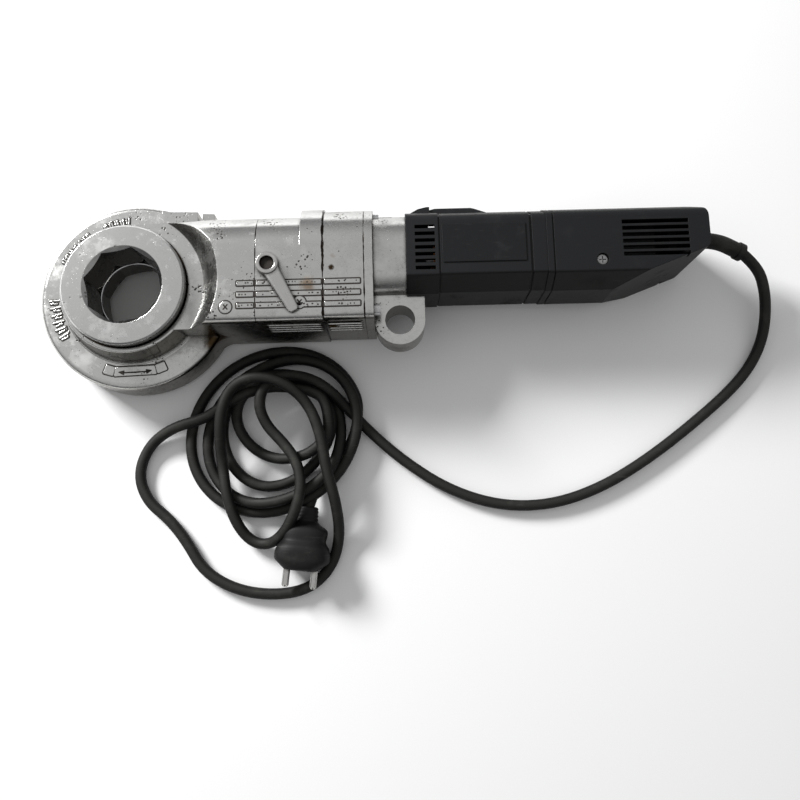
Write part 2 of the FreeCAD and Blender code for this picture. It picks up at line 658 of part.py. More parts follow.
def cover_screws():
    """Six slotted screws that hold the back cover, flush with it."""
    screws = []
    for number in range(6):
        angle = math.radians(60.0 * number + 50.0)
        at = (51.5 * math.cos(angle), 51.5 * math.sin(angle))
        shank = cylinder("cover_shank_%d" % number, 1.6, 4.4, at + (0.5,))
        slot = box("cover_slot_%d" % number, (at[0] - 2.0, at[1] - 0.3, 0.0),
                   (at[0] + 2.0, at[1] + 0.3, 0.9))
        screws.append(cut("cover_screw_%d" % number, shank, [slot]))
    return keep(fuse("cover_screws", screws))


# ---------------------------------------------------------------- direction lever
def direction_lever():
    """Flat lever on the gear case that points to one of two direction marks."""
    angle = math.radians(float(d.lever_angle_deg) - 90.0)
    along = Vector(math.cos(angle), math.sin(angle), 0)
    across = Vector(-along.y, along.x, 0)

    def arm_point(reach, side):
        return (d.lever_x + reach * along.x + side * across.x,
                d.lever_y + reach * along.y + side * across.y)

    arm = prism("lever_arm", "XY_Plane", [
        arm_point(0.0, -5.6), arm_point(d.lever_reach - 2.0, -3.6), arm_point(d.lever_reach, -2.0),
        arm_point(d.lever_reach, 2.0), arm_point(d.lever_reach - 2.0, 3.6), arm_point(0.0, 5.6)],
        d.lever_low_z, d.lever_high_z - d.lever_low_z - 1.0)
    round_edges(arm, "lever_arm_edge", 1.6,
                lambda e: at_height(e, d.lever_high_z - 1.0) and e.Length > 20.0)
    boss = cylinder("lever_boss", d.lever_boss_r, d.lever_high_z - d.lever_low_z,
                    (d.lever_x, d.lever_y, d.lever_low_z))
    tools = [
        cylinder("lever_bore", d.spindle_r, 20.0, (d.lever_x, d.lever_y, 60.0)),
        cylinder("lever_recess", 4.65, 5.0, (d.lever_x, d.lever_y, d.lever_high_z - 2.4)),
    ]
    keep(cut("direction_lever", fuse("lever_blank", [arm, boss]), tools))
    spindle = cylinder("spindle_rod", d.spindle_r, 16.0, (d.lever_x, d.lever_y, 55.6))
    peg = cylinder("spindle_peg", 1.4, 5.0, (d.lever_x + 2.2, d.lever_y - 1.2, 51.0))
    groove = ring("spindle_groove", 6.0, 3.4, 0.9, (d.lever_x, d.lever_y, 61.4))
    keep(cut("lever_spindle", fuse("spindle_blank", [spindle, peg]), [groove]))
    keep(ring("lever_circlip", 5.8, 3.4, 0.9, (d.lever_x, d.lever_y, 61.4)))


# ---------------------------------------------------------------- motor
def armature():
    shaft_y = d.motor_axis_y
    nose = cylinder("rotor_nose", 3.2, 12.0, (137.0, shaft_y, d.shaft_z), "x")
    rod = cylinder("rotor_rod", d.motor_shaft_r, 160.0, (148.9, shaft_y, d.shaft_z), "x")
    keep(fuse("armature_shaft", [nose, rod]))
    pinion = spur_gear(d.motor_pinion_teeth, d.reduction_module, 9.0, 3.2,
                       -math.pi / 2.0 + math.pi / float(d.motor_pinion_teeth))
    keep(free_shape("armature_pinion", pinion, turned_to_x(138.0, shaft_y)))
    core_length = d.rotor_end_x - d.rotor_start_x
    keep(ring("armature_core", d.rotor_r, d.motor_shaft_r, core_length,
              (d.rotor_start_x, shaft_y, d.shaft_z), "x"))
    front = ring("rotor_winding_front", 14.0, d.motor_shaft_r, 7.0,
                 (d.rotor_start_x - 7.0, shaft_y, d.shaft_z), "x")
    rear = ring("rotor_winding_rear", 14.0, d.motor_shaft_r, 7.0,
                (d.rotor_end_x, shaft_y, d.shaft_z), "x")
    keep(fuse("armature_windings", [front, rear]))
    keep(ring("commutator", d.commutator_r, d.motor_shaft_r, d.commutator_end_x - d.commutator_start_x,
              (d.commutator_start_x, shaft_y, d.shaft_z), "x"))
    bore = d.motor_shaft_r + d.bush_gap
    seat_front = ring("rotor_bearing_front", 11.0, bore, 7.0, (161.5, shaft_y, d.shaft_z), "x")
    seat_rear = ring("rotor_bearing_rear", 9.5, bore, 6.0, (300.0, shaft_y, d.shaft_z), "x")
    keep(fuse("armature_bearings", [seat_front, seat_rear]))


def cooling_fan():
    """Radial fan on the motor shaft: hub, back disc and twelve straight blades."""
    blades = 12
    disc = Part.makeCylinder(float(d.fan_r), 1.6)
    shape = disc.fuse(Part.makeCylinder(8.0, 10.0))
    for number in range(blades):
        blade = Part.makeBox(13.0, 1.2, 8.5, Vector(8.5, -0.6, 1.0))
        blade.rotate(Vector(0, 0, 0), Vector(0, 0, 1), 360.0 * number / blades)
        shape = shape.fuse(blade)
    shape = shape.cut(Part.makeCylinder(float(d.motor_shaft_r), 30.0, Vector(0, 0, -5)))
    return keep(free_shape("cooling_fan", shape, turned_to_x(193.0, d.motor_axis_y)))


def stator():
    at = (213.5, d.motor_axis_y, d.shaft_z)
    keep(ring("stator_core", d.stator_outer_r, d.stator_inner_r, 51.0, at, "x"))
    front = ring("field_front", 22.8, 17.6, 6.0, (207.4, d.motor_axis_y, d.shaft_z), "x")
    rear = ring("field_rear", 22.8, 17.6, 5.5, (264.6, d.motor_axis_y, d.shaft_z), "x")
    keep(fuse("field_windings", [front, rear]))


def brush_gear():
    """Two carbon brushes in brass boxes, above and below the commutator."""
    holders = []
    brushes = []
    for side, name in ((1.0, "top"), (-1.0, "low")):
        def slab(label, half_x, half_y, start, end):
            low = d.shaft_z + (start if side > 0 else -end)
            high = d.shaft_z + (end if side > 0 else -start)
            return box(label + name, (280.0 - half_x, d.motor_axis_y - half_y, low),
                       (280.0 + half_x, d.motor_axis_y + half_y, high))
        brushes.append(slab("brush_", 3.0, 3.8, 10.7, 22.0))
        holders.append(cut("brush_box_" + name, slab("brush_box_outer_", 4.2, 5.2, 13.0, 26.0),
                           [slab("brush_box_inner_", 3.0, 3.8, 12.0, 24.0)]))
    keep(fuse("carbon_brushes", brushes))
    keep(fuse("brush_holders", holders))


# ---------------------------------------------------------------- black housings
def grip_outline(inset):
    """Section of the handle: a tall box whose four corners are steep facets."""
    low_y = d.grip_low_y + inset
    high_y = d.grip_high_y - inset
    low_z = 0.0 + inset
    high_z = d.grip_top_z - inset
    return [
        (low_y + d.grip_facet_y, low_z), (high_y - d.grip_facet_y, low_z),
        (high_y, d.grip_facet_z), (high_y, d.grip_top_z - d.grip_facet_z),
        (high_y - d.grip_facet_y, high_z), (low_y + d.grip_facet_y, high_z),
        (low_y, d.grip_top_z - d.grip_facet_z), (low_y, d.grip_facet_z)]


def grip_length(name, start, length, inset, edge_r=0.0):
    body = prism(name, "YZ_Plane", grip_outline(inset), start, length)
    if edge_r:
        far_side = d.grip_high_y - d.grip_facet_y - inset
        round_edges(body, name + "_edges", edge_r,
                    lambda e: along_x(e) and e.BoundBox.YMin > float(far_side) - 0.5)
        round_edges(body, name + "_near_edges", 2.0,
                    lambda e: along_x(e) and e.BoundBox.YMax < 0.0)
    return body


def seam(name, start, width, depth):
    """Shallow groove all round the handle."""
    return cut(name, grip_length(name + "_over", start, width, -2.0),
               [grip_length(name + "_under", start - 1.0, width + 2.0, depth)])


def motor_housing():
    """Plastic motor casing, with the fan's outlet slots and the paddle's window."""
    band = grip_length("motor_band", d.motor_start_x, d.fan_end_x - d.motor_start_x, 0.0, 6.0)
    tube = grip_length("motor_tube", d.fan_end_x, d.motor_end_x - d.fan_end_x, 0.6, 6.0)
    mid_z = d.shaft_z
    ear_reach = d.paddle_half_z + 0.4
    ear_plan = [(193.0, 44.0), (206.0, 44.0), (206.0, 53.2), (204.0, 53.2), (198.0, 51.8), (193.0, 49.0)]
    ears = [
        prism("paddle_ear_top", "XY_Plane", ear_plan, mid_z + ear_reach, 3.6),
        prism("paddle_ear_low", "XY_Plane", ear_plan, mid_z - ear_reach - 3.6, 3.6),
    ]
    blank = fuse("motor_blank", [band, tube] + ears)
    tools = [
        grip_length("motor_room", d.motor_start_x - 1.0, 120.0, d.grip_wall),
        seam("motor_band_seam", d.fan_end_x - 0.5, 1.0, 1.1),
        seam("motor_waist", d.waist_x, 1.6, 1.5),
        box("paddle_window", (204.6, 43.0, mid_z - ear_reach), (249.6, 60.0, mid_z + ear_reach)),
        cylinder("paddle_ear_bore", 1.2, 25.6, (201.0, 50.3, mid_z - 12.8)),
    ]
    for number in range(7):
        low_y = 2.2 + 4.7 * number
        tools.append(box("fan_slot_%d" % number, (195.0, low_y, -5.0), (208.2, low_y + 2.4, 80.0)))
    return keep(cut("motor_housing", blank, tools))


def rear_outline(inset):
    """Plan of the rear handle: straight, then drawn in towards the cord on the near side."""
    return [
        (d.motor_end_x - 2.0, d.grip_low_y + inset), (d.taper_start_x, d.grip_low_y + inset),
        (d.tail_x - inset, d.tail_low_y + inset), (d.tail_x - inset, d.grip_high_y - inset),
        (d.motor_end_x - 2.0, d.grip_high_y - inset)]


def rear_shells():
    """Rear handle in two halves that meet at the shaft's height."""
    length = d.tail_x - d.motor_end_x
    section = grip_length("rear_section", d.motor_end_x, length, 0.0, 6.0)
    plan = prism("rear_plan", "XY_Plane", rear_outline(0.0), -1.0, 80.0)
    round_edges(plan, "rear_plan_corner", d.tail_corner_r,
                lambda e: e.BoundBox.ZLength > 50.0 and e.BoundBox.XMin > 389.0 and e.BoundBox.YMin > 40.0)
    round_edges(plan, "rear_plan_low_corner", 5.0,
                lambda e: e.BoundBox.ZLength > 50.0 and e.BoundBox.XMin > 389.0 and e.BoundBox.YMin < 20.0)
    outer = doc.addObject("Part::Common", "rear_outer")
    outer.Base = section
    outer.Tool = plan
    inner = doc.addObject("Part::Common", "rear_inner")
    inner.Base = grip_length("rear_room", d.motor_end_x - 1.0, length + 5.0, d.grip_wall)
    room_plan = prism("rear_room_plan", "XY_Plane", rear_outline(d.grip_wall), -1.0, 80.0)
    round_edges(room_plan, "rear_room_corner", d.tail_corner_r - d.grip_wall,
                lambda e: e.BoundBox.ZLength > 50.0 and e.BoundBox.XMin > 386.0 and e.BoundBox.YMin > 40.0)
    inner.Tool = room_plan
    posts = [cylinder("rear_post_%d" % number, 4.6, 62.0, place_at + (2.0,))
             for number, place_at in enumerate(HANDLE_SCREWS)]
    web = box("rear_bearing_web", (299.0, 2.0, 2.0), (307.0, 39.5, 64.0))
    shell = fuse("rear_shell", [cut("rear_hollow", outer, [inner]), web] + posts)
    tools = [
        cylinder("rear_bearing_seat", 9.5, 6.0, (300.0, d.motor_axis_y, d.shaft_z), "x"),
        cylinder("rear_shaft_hole", 6.0, 20.0, (295.0, d.motor_axis_y, d.shaft_z), "x"),
        cylinder("rear_cord_hole", 5.5, 20.0, (380.0, CORD_EXIT_Y, d.shaft_z), "x"),
        seam("rear_seam", 286.0, 0.9, 0.9),
    ]
    for number in range(6):
        low_y = 8.0 + 4.45 * number
        tools.append(box("rear_slot_%d" % number, (332.0, low_y, -5.0), (376.0, low_y + 2.7, 6.0)))
        tools.append(box("rear_top_slot_%d" % number, (332.0, low_y, 60.0), (376.0, low_y + 2.7, 80.0)))
    for number, place_at in enumerate(HANDLE_SCREWS):
        from_top = number == 0
        tools.append(cylinder("rear_screw_bore_%d" % number, 1.7, 62.0,
                              place_at + ((9.0,) if from_top else (-5.0,))))
        tools.append(cylinder("rear_screw_sink_%d" % number, 3.9, 30.0,
                              place_at + ((62.0,) if from_top else (-26.0,))))
    solid = cut("rear_solid", shell, tools)
    halves = (("rear_shell_top", d.shaft_z, d.shaft_z + 60.0), ("rear_shell_bottom", d.shaft_z - 60.0, d.shaft_z))
    for name, low, high in halves:
        half = doc.addObject("Part::Common", name)
        half.Base = solid
        half.Tool = box(name + "_half", (270.0, -30.0, low), (400.0, 80.0, high))
        keep(half)


HANDLE_SCREWS = [(318.0, 6.4), (318.0, 36.0), (381.5, 19.5)]
CORD_EXIT_Y = 29.0


def handle_screws():
    screws = []
    for number, place_at in enumerate(HANDLE_SCREWS):
        from_top = number == 0
        shank = cylinder("handle_shank_%d" % number, 1.7, 50.0, place_at + ((12.0,) if from_top else (4.0,)))
        head_z = 62.0 if from_top else 1.6
        head = cylinder("handle_head_%d" % number, 3.4, 2.4, place_at + (head_z,))
        slot_z = 63.6 if from_top else 1.0
        x, y = place_at
        slots = [box("handle_slot_a_%d" % number, (x - 2.2, y - 0.4, slot_z), (x + 2.2, y + 0.4, slot_z + 1.4)),
                 box("handle_slot_b_%d" % number, (x - 0.4, y - 2.2, slot_z), (x + 0.4, y + 2.2, slot_z + 1.4))]
        screws.append(cut("handle_screw_%d" % number, fuse("handle_blank_%d" % number, [shank, head]), slots))
    return keep(fuse("handle_screws", screws))


def switch_parts():
    """Rocking safety paddle on the handle's side, its pin, and the switch block behind the motor."""
    low_z = d.shaft_z - d.paddle_half_z
    width = d.paddle_half_z * 2
    paddle = prism("paddle_blank", "XY_Plane", [
        (d.paddle_start_x, 48.5), (d.paddle_end_x, 48.5), (d.paddle_end_x - 0.6, 49.4),
        (234.0, d.paddle_proud_y), (211.0, d.paddle_proud_y), (d.paddle_start_x, 50.2)], low_z, width)
    round_edges(paddle, "paddle_rounding", 1.5, lambda e: e.BoundBox.YMin > 53.5)
    keep(cut("switch_paddle", paddle, [cylinder("paddle_bore", 1.25, 40.0, (201.0, 50.3, 13.0))]))
    keep(cylinder("paddle_pin", 1.2, 25.6, (201.0, 50.3, d.shaft_z - 12.8)))
    keep(box("switch_block", (334.0, 12.0, 21.0), (360.0, 38.0, 45.0)))
    keep(cylinder("suppressor_capacitor", 6.0, 18.0, (311.0, 21.0, 12.0), "x"))


def cord_clamp():
    """Clamp that holds the lead's jacket inside the handle."""
    block = box("clamp_block", (371.0, 22.0, 26.0), (377.0, 36.0, 40.0))
    return keep(cut("cord_clamp", block, [
        cylinder("clamp_bore", d.cord_r, 20.0, (365.0, CORD_EXIT_Y, d.shaft_z), "x")]))


# ---------------------------------------------------------------- mains lead
def rounded_path(route):
    """Straight runs joined by tangent arcs, each as large as its two runs allow."""
    points = [Vector(*point) for point in route]
    edges = []
    start = points[0]
    radii = []
    for before, corner, after in zip(points, points[1:], points[2:]):
        into = (corner - before).normalize()
        out = (after - corner).normalize()
        turn = into.getAngle(out)
        set_back = 0.45 * min((corner - before).Length, (after - corner).Length)
        radii.append(set_back / math.tan(turn / 2.0))
        enter = corner - into * set_back
        leave = corner + out * set_back
        middle_way = (out - into).normalize()
        centre = corner + middle_way * (radii[-1] / math.cos(turn / 2.0))
        middle = centre - middle_way * radii[-1]
        edges.append(Part.LineSegment(start, enter).toShape())
        edges.append(Part.Arc(enter, middle, leave).toShape())
        start = leave
    edges.append(Part.LineSegment(start, points[-1]).toShape())
    return Part.Wire(edges), radii


def bent_tube(name, route, radius):
    path, radii = rounded_path(route)
    first = Vector(*route[0])
    heading = (Vector(*route[1]) - first).normalize()
    ring_edge = Part.makeCircle(radius, first, heading)
    tube = path.makePipeShell([Part.Wire([ring_edge])], True, False)
    share = tube.Volume / (math.pi * radius ** 2 * path.Length)
    print("%s: length %.0f, volume over section times length %.4f, smallest radius %.1f"
          % (name, path.Length, share, min(radii)))
    return tube


LEAD_ROUTE = [
    (426.5, 21.5, 27.3), (439.0, 12.5, 23.0), (445.0, -2.5, 17.5), (446.5, -19.5, 12.0),
    (444.5, -36.5, 7.0), (437.0, -53.0, 3.95), (423.0, -69.5, 3.9), (398.0, -90.5, 3.9),
    (359.0, -119.0, 3.9), (322.0, -140.0, 3.9), (286.0, -151.0, 3.9), (250.0, -150.5, 3.9),
    (215.0, -138.5, 3.9), (184.0, -117.5, 3.9), (162.0, -97.5, 3.9), (147.0, -81.0, 3.9)]

LOOP_ROUTE = [
    (46.0, -85.0, 3.9), (22.0, -90.0, 3.9), (4.0, -102.0, 3.9), (-3.0, -122.0, 3.9),
    (4.0, -141.0, 3.9), (20.0, -154.0, 3.9), (32.5, -170.0, 3.9), (44.0, -190.0, 3.9),
    (66.0, -203.0, 3.9), (92.0, -207.5, 3.9), (117.0, -204.0, 3.9), (133.0, -189.0, 3.9),
    (139.0, -168.0, 3.9), (137.0, -145.0, 3.9), (131.0, -123.0, 3.9)]

SLEEVE_ROUTE = [(384.0, CORD_EXIT_Y, 33.0), (407.0, CORD_EXIT_Y, 33.0), (426.5, 21.5, 27.3)]


def strain_relief():
    """Tapered rubber sleeve, bent where it hangs, with a shoulder at the housing."""
    path, radii = rounded_path(SLEEVE_ROUTE)
    start = Vector(*SLEEVE_ROUTE[0])
    end = Vector(*SLEEVE_ROUTE[-1])
    heading = (end - Vector(*SLEEVE_ROUTE[1])).normalize()
    big = Part.Wire([Part.makeCircle(5.5, start, Vector(1, 0, 0))])
    sleeve = path.makePipeShell([big], True, False)
    shoulder = Part.makeCylinder(6.8, 5.0, Vector(390.0, CORD_EXIT_Y, 33.0), Vector(1, 0, 0))
    cuff = Part.makeCylinder(6.3, 4.0, end - heading * 4.0, heading)
    return keep(free_shape("strain_relief", sleeve.fuse(shoulder).fuse(cuff)))


def mains_lead():
    radius = float(d.cord_r)
    keep(free_shape("cord_lead", bent_tube("cord_lead", LEAD_ROUTE, radius)))
    keep(free_shape("cord_loop", bent_tube("cord_loop", LOOP_ROUTE, radius)))
    heap = turned("coil_heap", [
        (0.0, 0.1), (d.coil_r - 3.0, 0.1), (d.coil_r, 4.0), (d.coil_r, 22.0),
        (d.coil_r - 22.0, d.coil_height), (0.0, d.coil_height)])
    heap.Placement = Placement(Vector(float(d.coil_x), float(d.coil_y), 0), Rotation())
    lobe = cylinder("coil_lobe", 27.0, 23.0, (84.0, -150.0, 0.1))
    keep(fuse("cord_coil", [heap, lobe]))


def plug():
    """Two-pin moulded plug lying on its flat side, pins towards -Y."""
    stance = Placement(Vector(float(d.plug_x), float(d.plug_y), 0),
                       Rotation(Vector(0, 0, 1), float(d.plug_turn_deg)))
    half = d.plug_half_width
    right = [(5.0, -7.5), (12.0, -6.3), (half, -1.5), (half, 5.0), (15.2, 16.0), (14.6, 21.0), (7.5, 27.0)]
    left = [(-across, ahead) for across, ahead in reversed(right)]
    shell = prism("plug_shell", "XY_Plane", right + left, 0.2, d.plug_half_height * 2)
    round_edges(shell, "plug_rounding", 3.0,
                lambda e: e.BoundBox.ZLength < 0.01 and e.Length > 3.0)
    shell.Placement = stance
    neck = cylinder("plug_neck", 7.4, 14.0, (0.0, 0.0, 0.0), "y")
    neck.Placement = stance.multiply(Placement(Vector(0, 22.0, 10.0), AXIS_TURN["y"]))
    keep(fuse("plug_body", [shell, neck]))
    pins = []
    for number, side in enumerate((-0.5, 0.5)):
        length = float(d.pin_length)
        across = side * float(d.pin_gap)
        shank = cylinder("plug_pin_shank_%d" % number, d.pin_r, length + 3.0, (0.0, 0.0, 0.0))
        tip = cone("plug_pin_tip_%d" % number, d.pin_r - 1.0, d.pin_r, 1.2, (0.0, 0.0, 0.0))
        shank.Placement = stance.multiply(Placement(Vector(across, -length + 1.2, 13.2), AXIS_TURN["y"]))
        tip.Placement = stance.multiply(Placement(Vector(across, -length, 13.2), AXIS_TURN["y"]))
        pins.append(fuse("plug_pin_%d" % number, [shank, tip]))
    keep(fuse("plug_pins", pins))


# ---------------------------------------------------------------- build and write
head_housing()
back_cover()
cover_screws()
drive_ring()
retaining_spring_ring()
ring_gear()
ring_bushes()
pinion_stack()
bevel_shaft()
countershaft()
gear_case()
intermediate_plate()
motor_flange()
case_screws()
direction_lever()
armature()
cooling_fan()
stator()
brush_gear()
motor_housing()
rear_shells()
handle_screws()
switch_parts()
cord_clamp()
strain_relief()
mains_lead()
plug()
doc.recompute()

faults = [item.Name for item in doc.Objects if "Invalid" in item.State or "Error" in item.State]
if faults:
    raise SystemExit("failed objects: " + ", ".join(faults))
os.makedirs("parts", exist_ok=True)
for item in PARTS:
    if item.Shape.isNull() or not item.Shape.isValid():
        raise SystemExit("bad shape: " + item.Label)
    item.Shape.exportStep("parts/" + item.Label + ".step")
print(len(PARTS), "sub-parts written")
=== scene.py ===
# %% [markdown]
# # Pipe threading machine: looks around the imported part
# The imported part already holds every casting, gear and shell in its real place. This file adds what a
# plain solid can't show: the mains cord, the moulded plug, the raised marks of the castings and the
# finishes.

import json

import bpy
import numpy as np
from math import cos, pi, radians, sin
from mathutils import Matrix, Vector


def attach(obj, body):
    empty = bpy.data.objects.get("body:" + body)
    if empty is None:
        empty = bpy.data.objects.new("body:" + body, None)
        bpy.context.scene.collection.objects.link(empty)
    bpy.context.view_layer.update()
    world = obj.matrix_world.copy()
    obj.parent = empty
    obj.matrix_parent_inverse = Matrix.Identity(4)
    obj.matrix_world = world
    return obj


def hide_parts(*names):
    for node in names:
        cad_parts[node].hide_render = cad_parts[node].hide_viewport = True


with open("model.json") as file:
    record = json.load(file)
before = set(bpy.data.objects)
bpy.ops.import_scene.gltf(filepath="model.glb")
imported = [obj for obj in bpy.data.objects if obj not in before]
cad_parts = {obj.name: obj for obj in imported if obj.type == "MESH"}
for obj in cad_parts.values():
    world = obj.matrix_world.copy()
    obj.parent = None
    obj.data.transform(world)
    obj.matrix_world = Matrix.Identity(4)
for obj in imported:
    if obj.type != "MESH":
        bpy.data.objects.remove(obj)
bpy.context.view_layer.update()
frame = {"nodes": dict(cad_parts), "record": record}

# %% [markdown]
# ## Camera
# The tool lies on a white sheet and is seen from above, a little from its lower side. A camera object
# needs a place, three turns and a lens; a lens as long as the sensor is wide sees about 53 degrees.

# %% Camera
camera_data = bpy.data.cameras.new("camera")
camera_data.lens = 36.0
camera_data.sensor_width = 36.0
camera_data.clip_start = 0.01
camera = bpy.data.objects.new("camera", camera_data)
camera.location = (0.18016, -0.16807, 0.568)
camera.rotation_euler = (radians(9.5), 0.0, radians(-1.5))
bpy.context.scene.collection.objects.link(camera)
bpy.context.scene.camera = camera
print("camera height", camera.location.z)

# %% [markdown]
# ## Grids into meshes
# Every new piece is a surface worked out as a whole array. A closed shell is a stack of rings with one
# point at each end; a closed rim wraps round both ways, as a ring doughnut does. One helper turns either
# kind of grid into a mesh, so that the pieces below only have to say where their points lie.


# %% Helpers for closed shells and rims
CUBIC_MM_IN_A_CUBIC_METRE = 1e9


def put_in_scene(name, vertices, faces):
    """Makes a mesh object and prints its face count and volume, which is above zero if faces point out."""
    mesh = bpy.data.meshes.new(name)
    mesh.from_pydata(np.asarray(vertices).tolist(), [], faces)
    mesh.polygons.foreach_set("use_smooth", np.full(len(mesh.polygons), True))
    mesh.update()
    piece = bpy.data.objects.new(name, mesh)
    bpy.context.scene.collection.objects.link(piece)
    mesh.calc_loop_triangles()
    corners = np.empty(len(mesh.loop_triangles) * 3, int)
    mesh.loop_triangles.foreach_get("vertices", corners)
    a, b, c = np.moveaxis(np.asarray(vertices)[corners.reshape(-1, 3)], 1, 0)
    volume = np.einsum("ij,ij->i", a, np.cross(b, c)).sum() / 6
    print(name, "faces", len(mesh.polygons), "volume mm3", round(volume * CUBIC_MM_IN_A_CUBIC_METRE, 2))
    return piece


def shell(name, rings, ends):
    """rings[piece, row, column, xyz] go from the lowest row up, anticlockwise; ends[piece, 2, xyz] close
    them. Each face joins point (row, column) to its right and upper neighbours; a fan closes each end."""
    many, rows, columns = rings.shape[:3]
    here = np.arange(many * rows * columns).reshape(many, rows, columns)
    right = np.roll(here, -1, axis=2)
    quads = np.stack([here[:, :-1], right[:, :-1], right[:, 1:], here[:, 1:]], -1).reshape(-1, 4)
    low = np.broadcast_to(here.size + 2 * np.arange(many)[:, None], (many, columns))
    first = np.stack([low, right[:, 0], here[:, 0]], -1).reshape(-1, 3)
    last = np.stack([low + 1, here[:, -1], right[:, -1]], -1).reshape(-1, 3)
    vertices = np.concatenate([rings.reshape(-1, 3), ends.reshape(-1, 3)])
    return put_in_scene(name, vertices, quads.tolist() + first.tolist() + last.tolist())


def rim(name, grid):
    """grid[piece, along, around, xyz] closes both ways: each face joins a point to its next ones."""
    index = np.arange(grid[..., 0].size).reshape(grid.shape[:3])
    along = np.roll(index, -1, axis=1)
    quads = np.stack([index, along, np.roll(along, -1, axis=2), np.roll(index, -1, axis=2)], -1)
    return put_in_scene(name, grid.reshape(-1, 3), quads.reshape(-1, 4).tolist())


# %% [markdown]
# ## Mains cord
# The real cord is about two and a half metres of rubber cable, thrown down in a loose heap: four turns,
# one loop to the left and over the heap, and a long free stretch to the tool. One NURBS spline with a
# round bevel is the cord; only the line of its middle has to be found. The turns come from a loop over
# ovals, the rest from a few points a hand could push about.

# %% Where the cord runs, seen from above, in metres
CORD_DIAMETER = 0.0076
CORD_ON_FLOOR = 0.0039
COIL_OVALS = np.array(
    [  # middle x, middle y, long half, short half, lean in degrees
        (0.0940, -0.0940, 0.0630, 0.0560, 35.0),
        (0.0990, -0.0950, 0.0570, 0.0490, 40.0),
        (0.0985, -0.0945, 0.0425, 0.0420, 0.0),
        (0.1010, -0.0860, 0.0340, 0.0285, -12.0),
    ]
)
POINTS_A_TURN = 20
STEP_IN_FROM = 0.65
FROM_PLUG = [
    (0.1170, -0.1505), (0.1200, -0.1400), (0.1260, -0.1290), (0.1350, -0.1190), (0.1440, -0.1090),
    (0.1500, -0.0980), (0.1520, -0.0870),
]
OUT_OF_COIL = [
    (0.1310, -0.0750), (0.1220, -0.0680), (0.1070, -0.0645), (0.0910, -0.0645), (0.0750, -0.0690),
    (0.0600, -0.0770),
]
FLOOR_LOOP = [
    (0.046, -0.085), (0.022, -0.090), (0.004, -0.102), (-0.003, -0.122), (0.004, -0.141),
    (0.020, -0.154), (0.0325, -0.170), (0.044, -0.190), (0.066, -0.203), (0.092, -0.2075),
    (0.117, -0.204), (0.133, -0.189), (0.139, -0.168), (0.137, -0.145), (0.131, -0.123),
]
OVER_COIL = [
    (0.1275, -0.0980), (0.1190, -0.0770), (0.1030, -0.0635), (0.0830, -0.0590), (0.0670, -0.0650),
    (0.0600, -0.0800), (0.0580, -0.0980), (0.0580, -0.1170), (0.0610, -0.1370), (0.0670, -0.1570),
    (0.0765, -0.1705), (0.0890, -0.1735), (0.1010, -0.1665), (0.1100, -0.1510), (0.1145, -0.1330),
    (0.1105, -0.1160), (0.1005, -0.1030), (0.0900, -0.0920), (0.0850, -0.0780), (0.0895, -0.0640),
    (0.1020, -0.0570), (0.1170, -0.0580), (0.1320, -0.0660),
]
LEAD_TO_TOOL = [  # the last stretch has its own heights, up to the strain relief's end
    (0.147, -0.081, 0.0039), (0.162, -0.0975, 0.0039), (0.184, -0.1175, 0.0039),
    (0.215, -0.1385, 0.0039), (0.250, -0.1505, 0.0039), (0.286, -0.151, 0.0039),
    (0.322, -0.140, 0.0039), (0.359, -0.119, 0.0039), (0.398, -0.0905, 0.0039),
    (0.423, -0.0695, 0.0039), (0.437, -0.053, 0.00395), (0.4445, -0.0365, 0.007),
    (0.4465, -0.0195, 0.012), (0.445, -0.0025, 0.0175), (0.439, 0.0125, 0.023),
    (0.4265, 0.0215, 0.0273),
]
LEAD_POINTS_ON_FLOOR = 10


def coil_turns():
    """Point n sits at turn n / POINTS_A_TURN of an oval: middle + turned (long cos, short sin). Over the
    last part of each turn the oval passes smoothly into the next one."""
    turns = []
    for turn, oval in enumerate(COIL_OVALS):
        after = COIL_OVALS[min(turn + 1, len(COIL_OVALS) - 1)]
        share = np.arange(1 if turn == 0 else 0, POINTS_A_TURN)[:, None] / POINTS_A_TURN
        mix = np.clip((share - STEP_IN_FROM) / (1 - STEP_IN_FROM), 0, 1)
        mix = mix * mix * (3 - 2 * mix)
        x, y, long_half, short_half, lean = (oval * (1 - mix) + after * mix).T
        lean = np.radians(lean)
        angle = 2 * pi * share[:, 0] - lean
        across, up = long_half * np.cos(angle), short_half * np.sin(angle)
        turns.append(np.stack([x + across * np.cos(lean) - up * np.sin(lean),
                               y + across * np.sin(lean) + up * np.cos(lean)], 1))
    return np.concatenate(turns)


cord_plan = np.concatenate([FROM_PLUG, coil_turns(), OUT_OF_COIL, FLOOR_LOOP, OVER_COIL])
print("points of the cord's plan", len(cord_plan), "and of its lead", len(LEAD_TO_TOOL))

# %% [markdown]
# ## How high each stretch lies
# A heap of cord is settled in the order it was laid: where a later stretch crosses an earlier one, it
# rests on it and comes down again in a long hump, because rubber cable is too stiff to fall at once. The
# heights are worked out on closely spaced points, layer after layer, from the floor up.

# %% Settle the cord on itself
STEPS_A_SPAN = 10
HUMP_RADIUS = 0.045
LAY_APART = 0.0077
SAME_STRETCH = 0.02
LAYERS_AT_MOST = 12
INNER_LOOP_FROM, INNER_LOOP_TO = 17, 20


def soft_line(points):
    """The line of a quadratic spline: from one leg's middle to the next, pulled to the point between."""
    points = np.asarray(points, float)
    middle = (points[:-1] + points[1:]) / 2
    starts = np.concatenate([points[:1], middle[1:-1]])[:, None]
    stops = np.concatenate([middle[1:-1], points[-1:]])[:, None]
    t = ((np.arange(STEPS_A_SPAN) + 0.5) / STEPS_A_SPAN)[None, :, None]
    line = (1 - t) ** 2 * starts + 2 * t * (1 - t) * points[1:-1, None] + t ** 2 * stops
    return line.reshape(-1, points.shape[1])


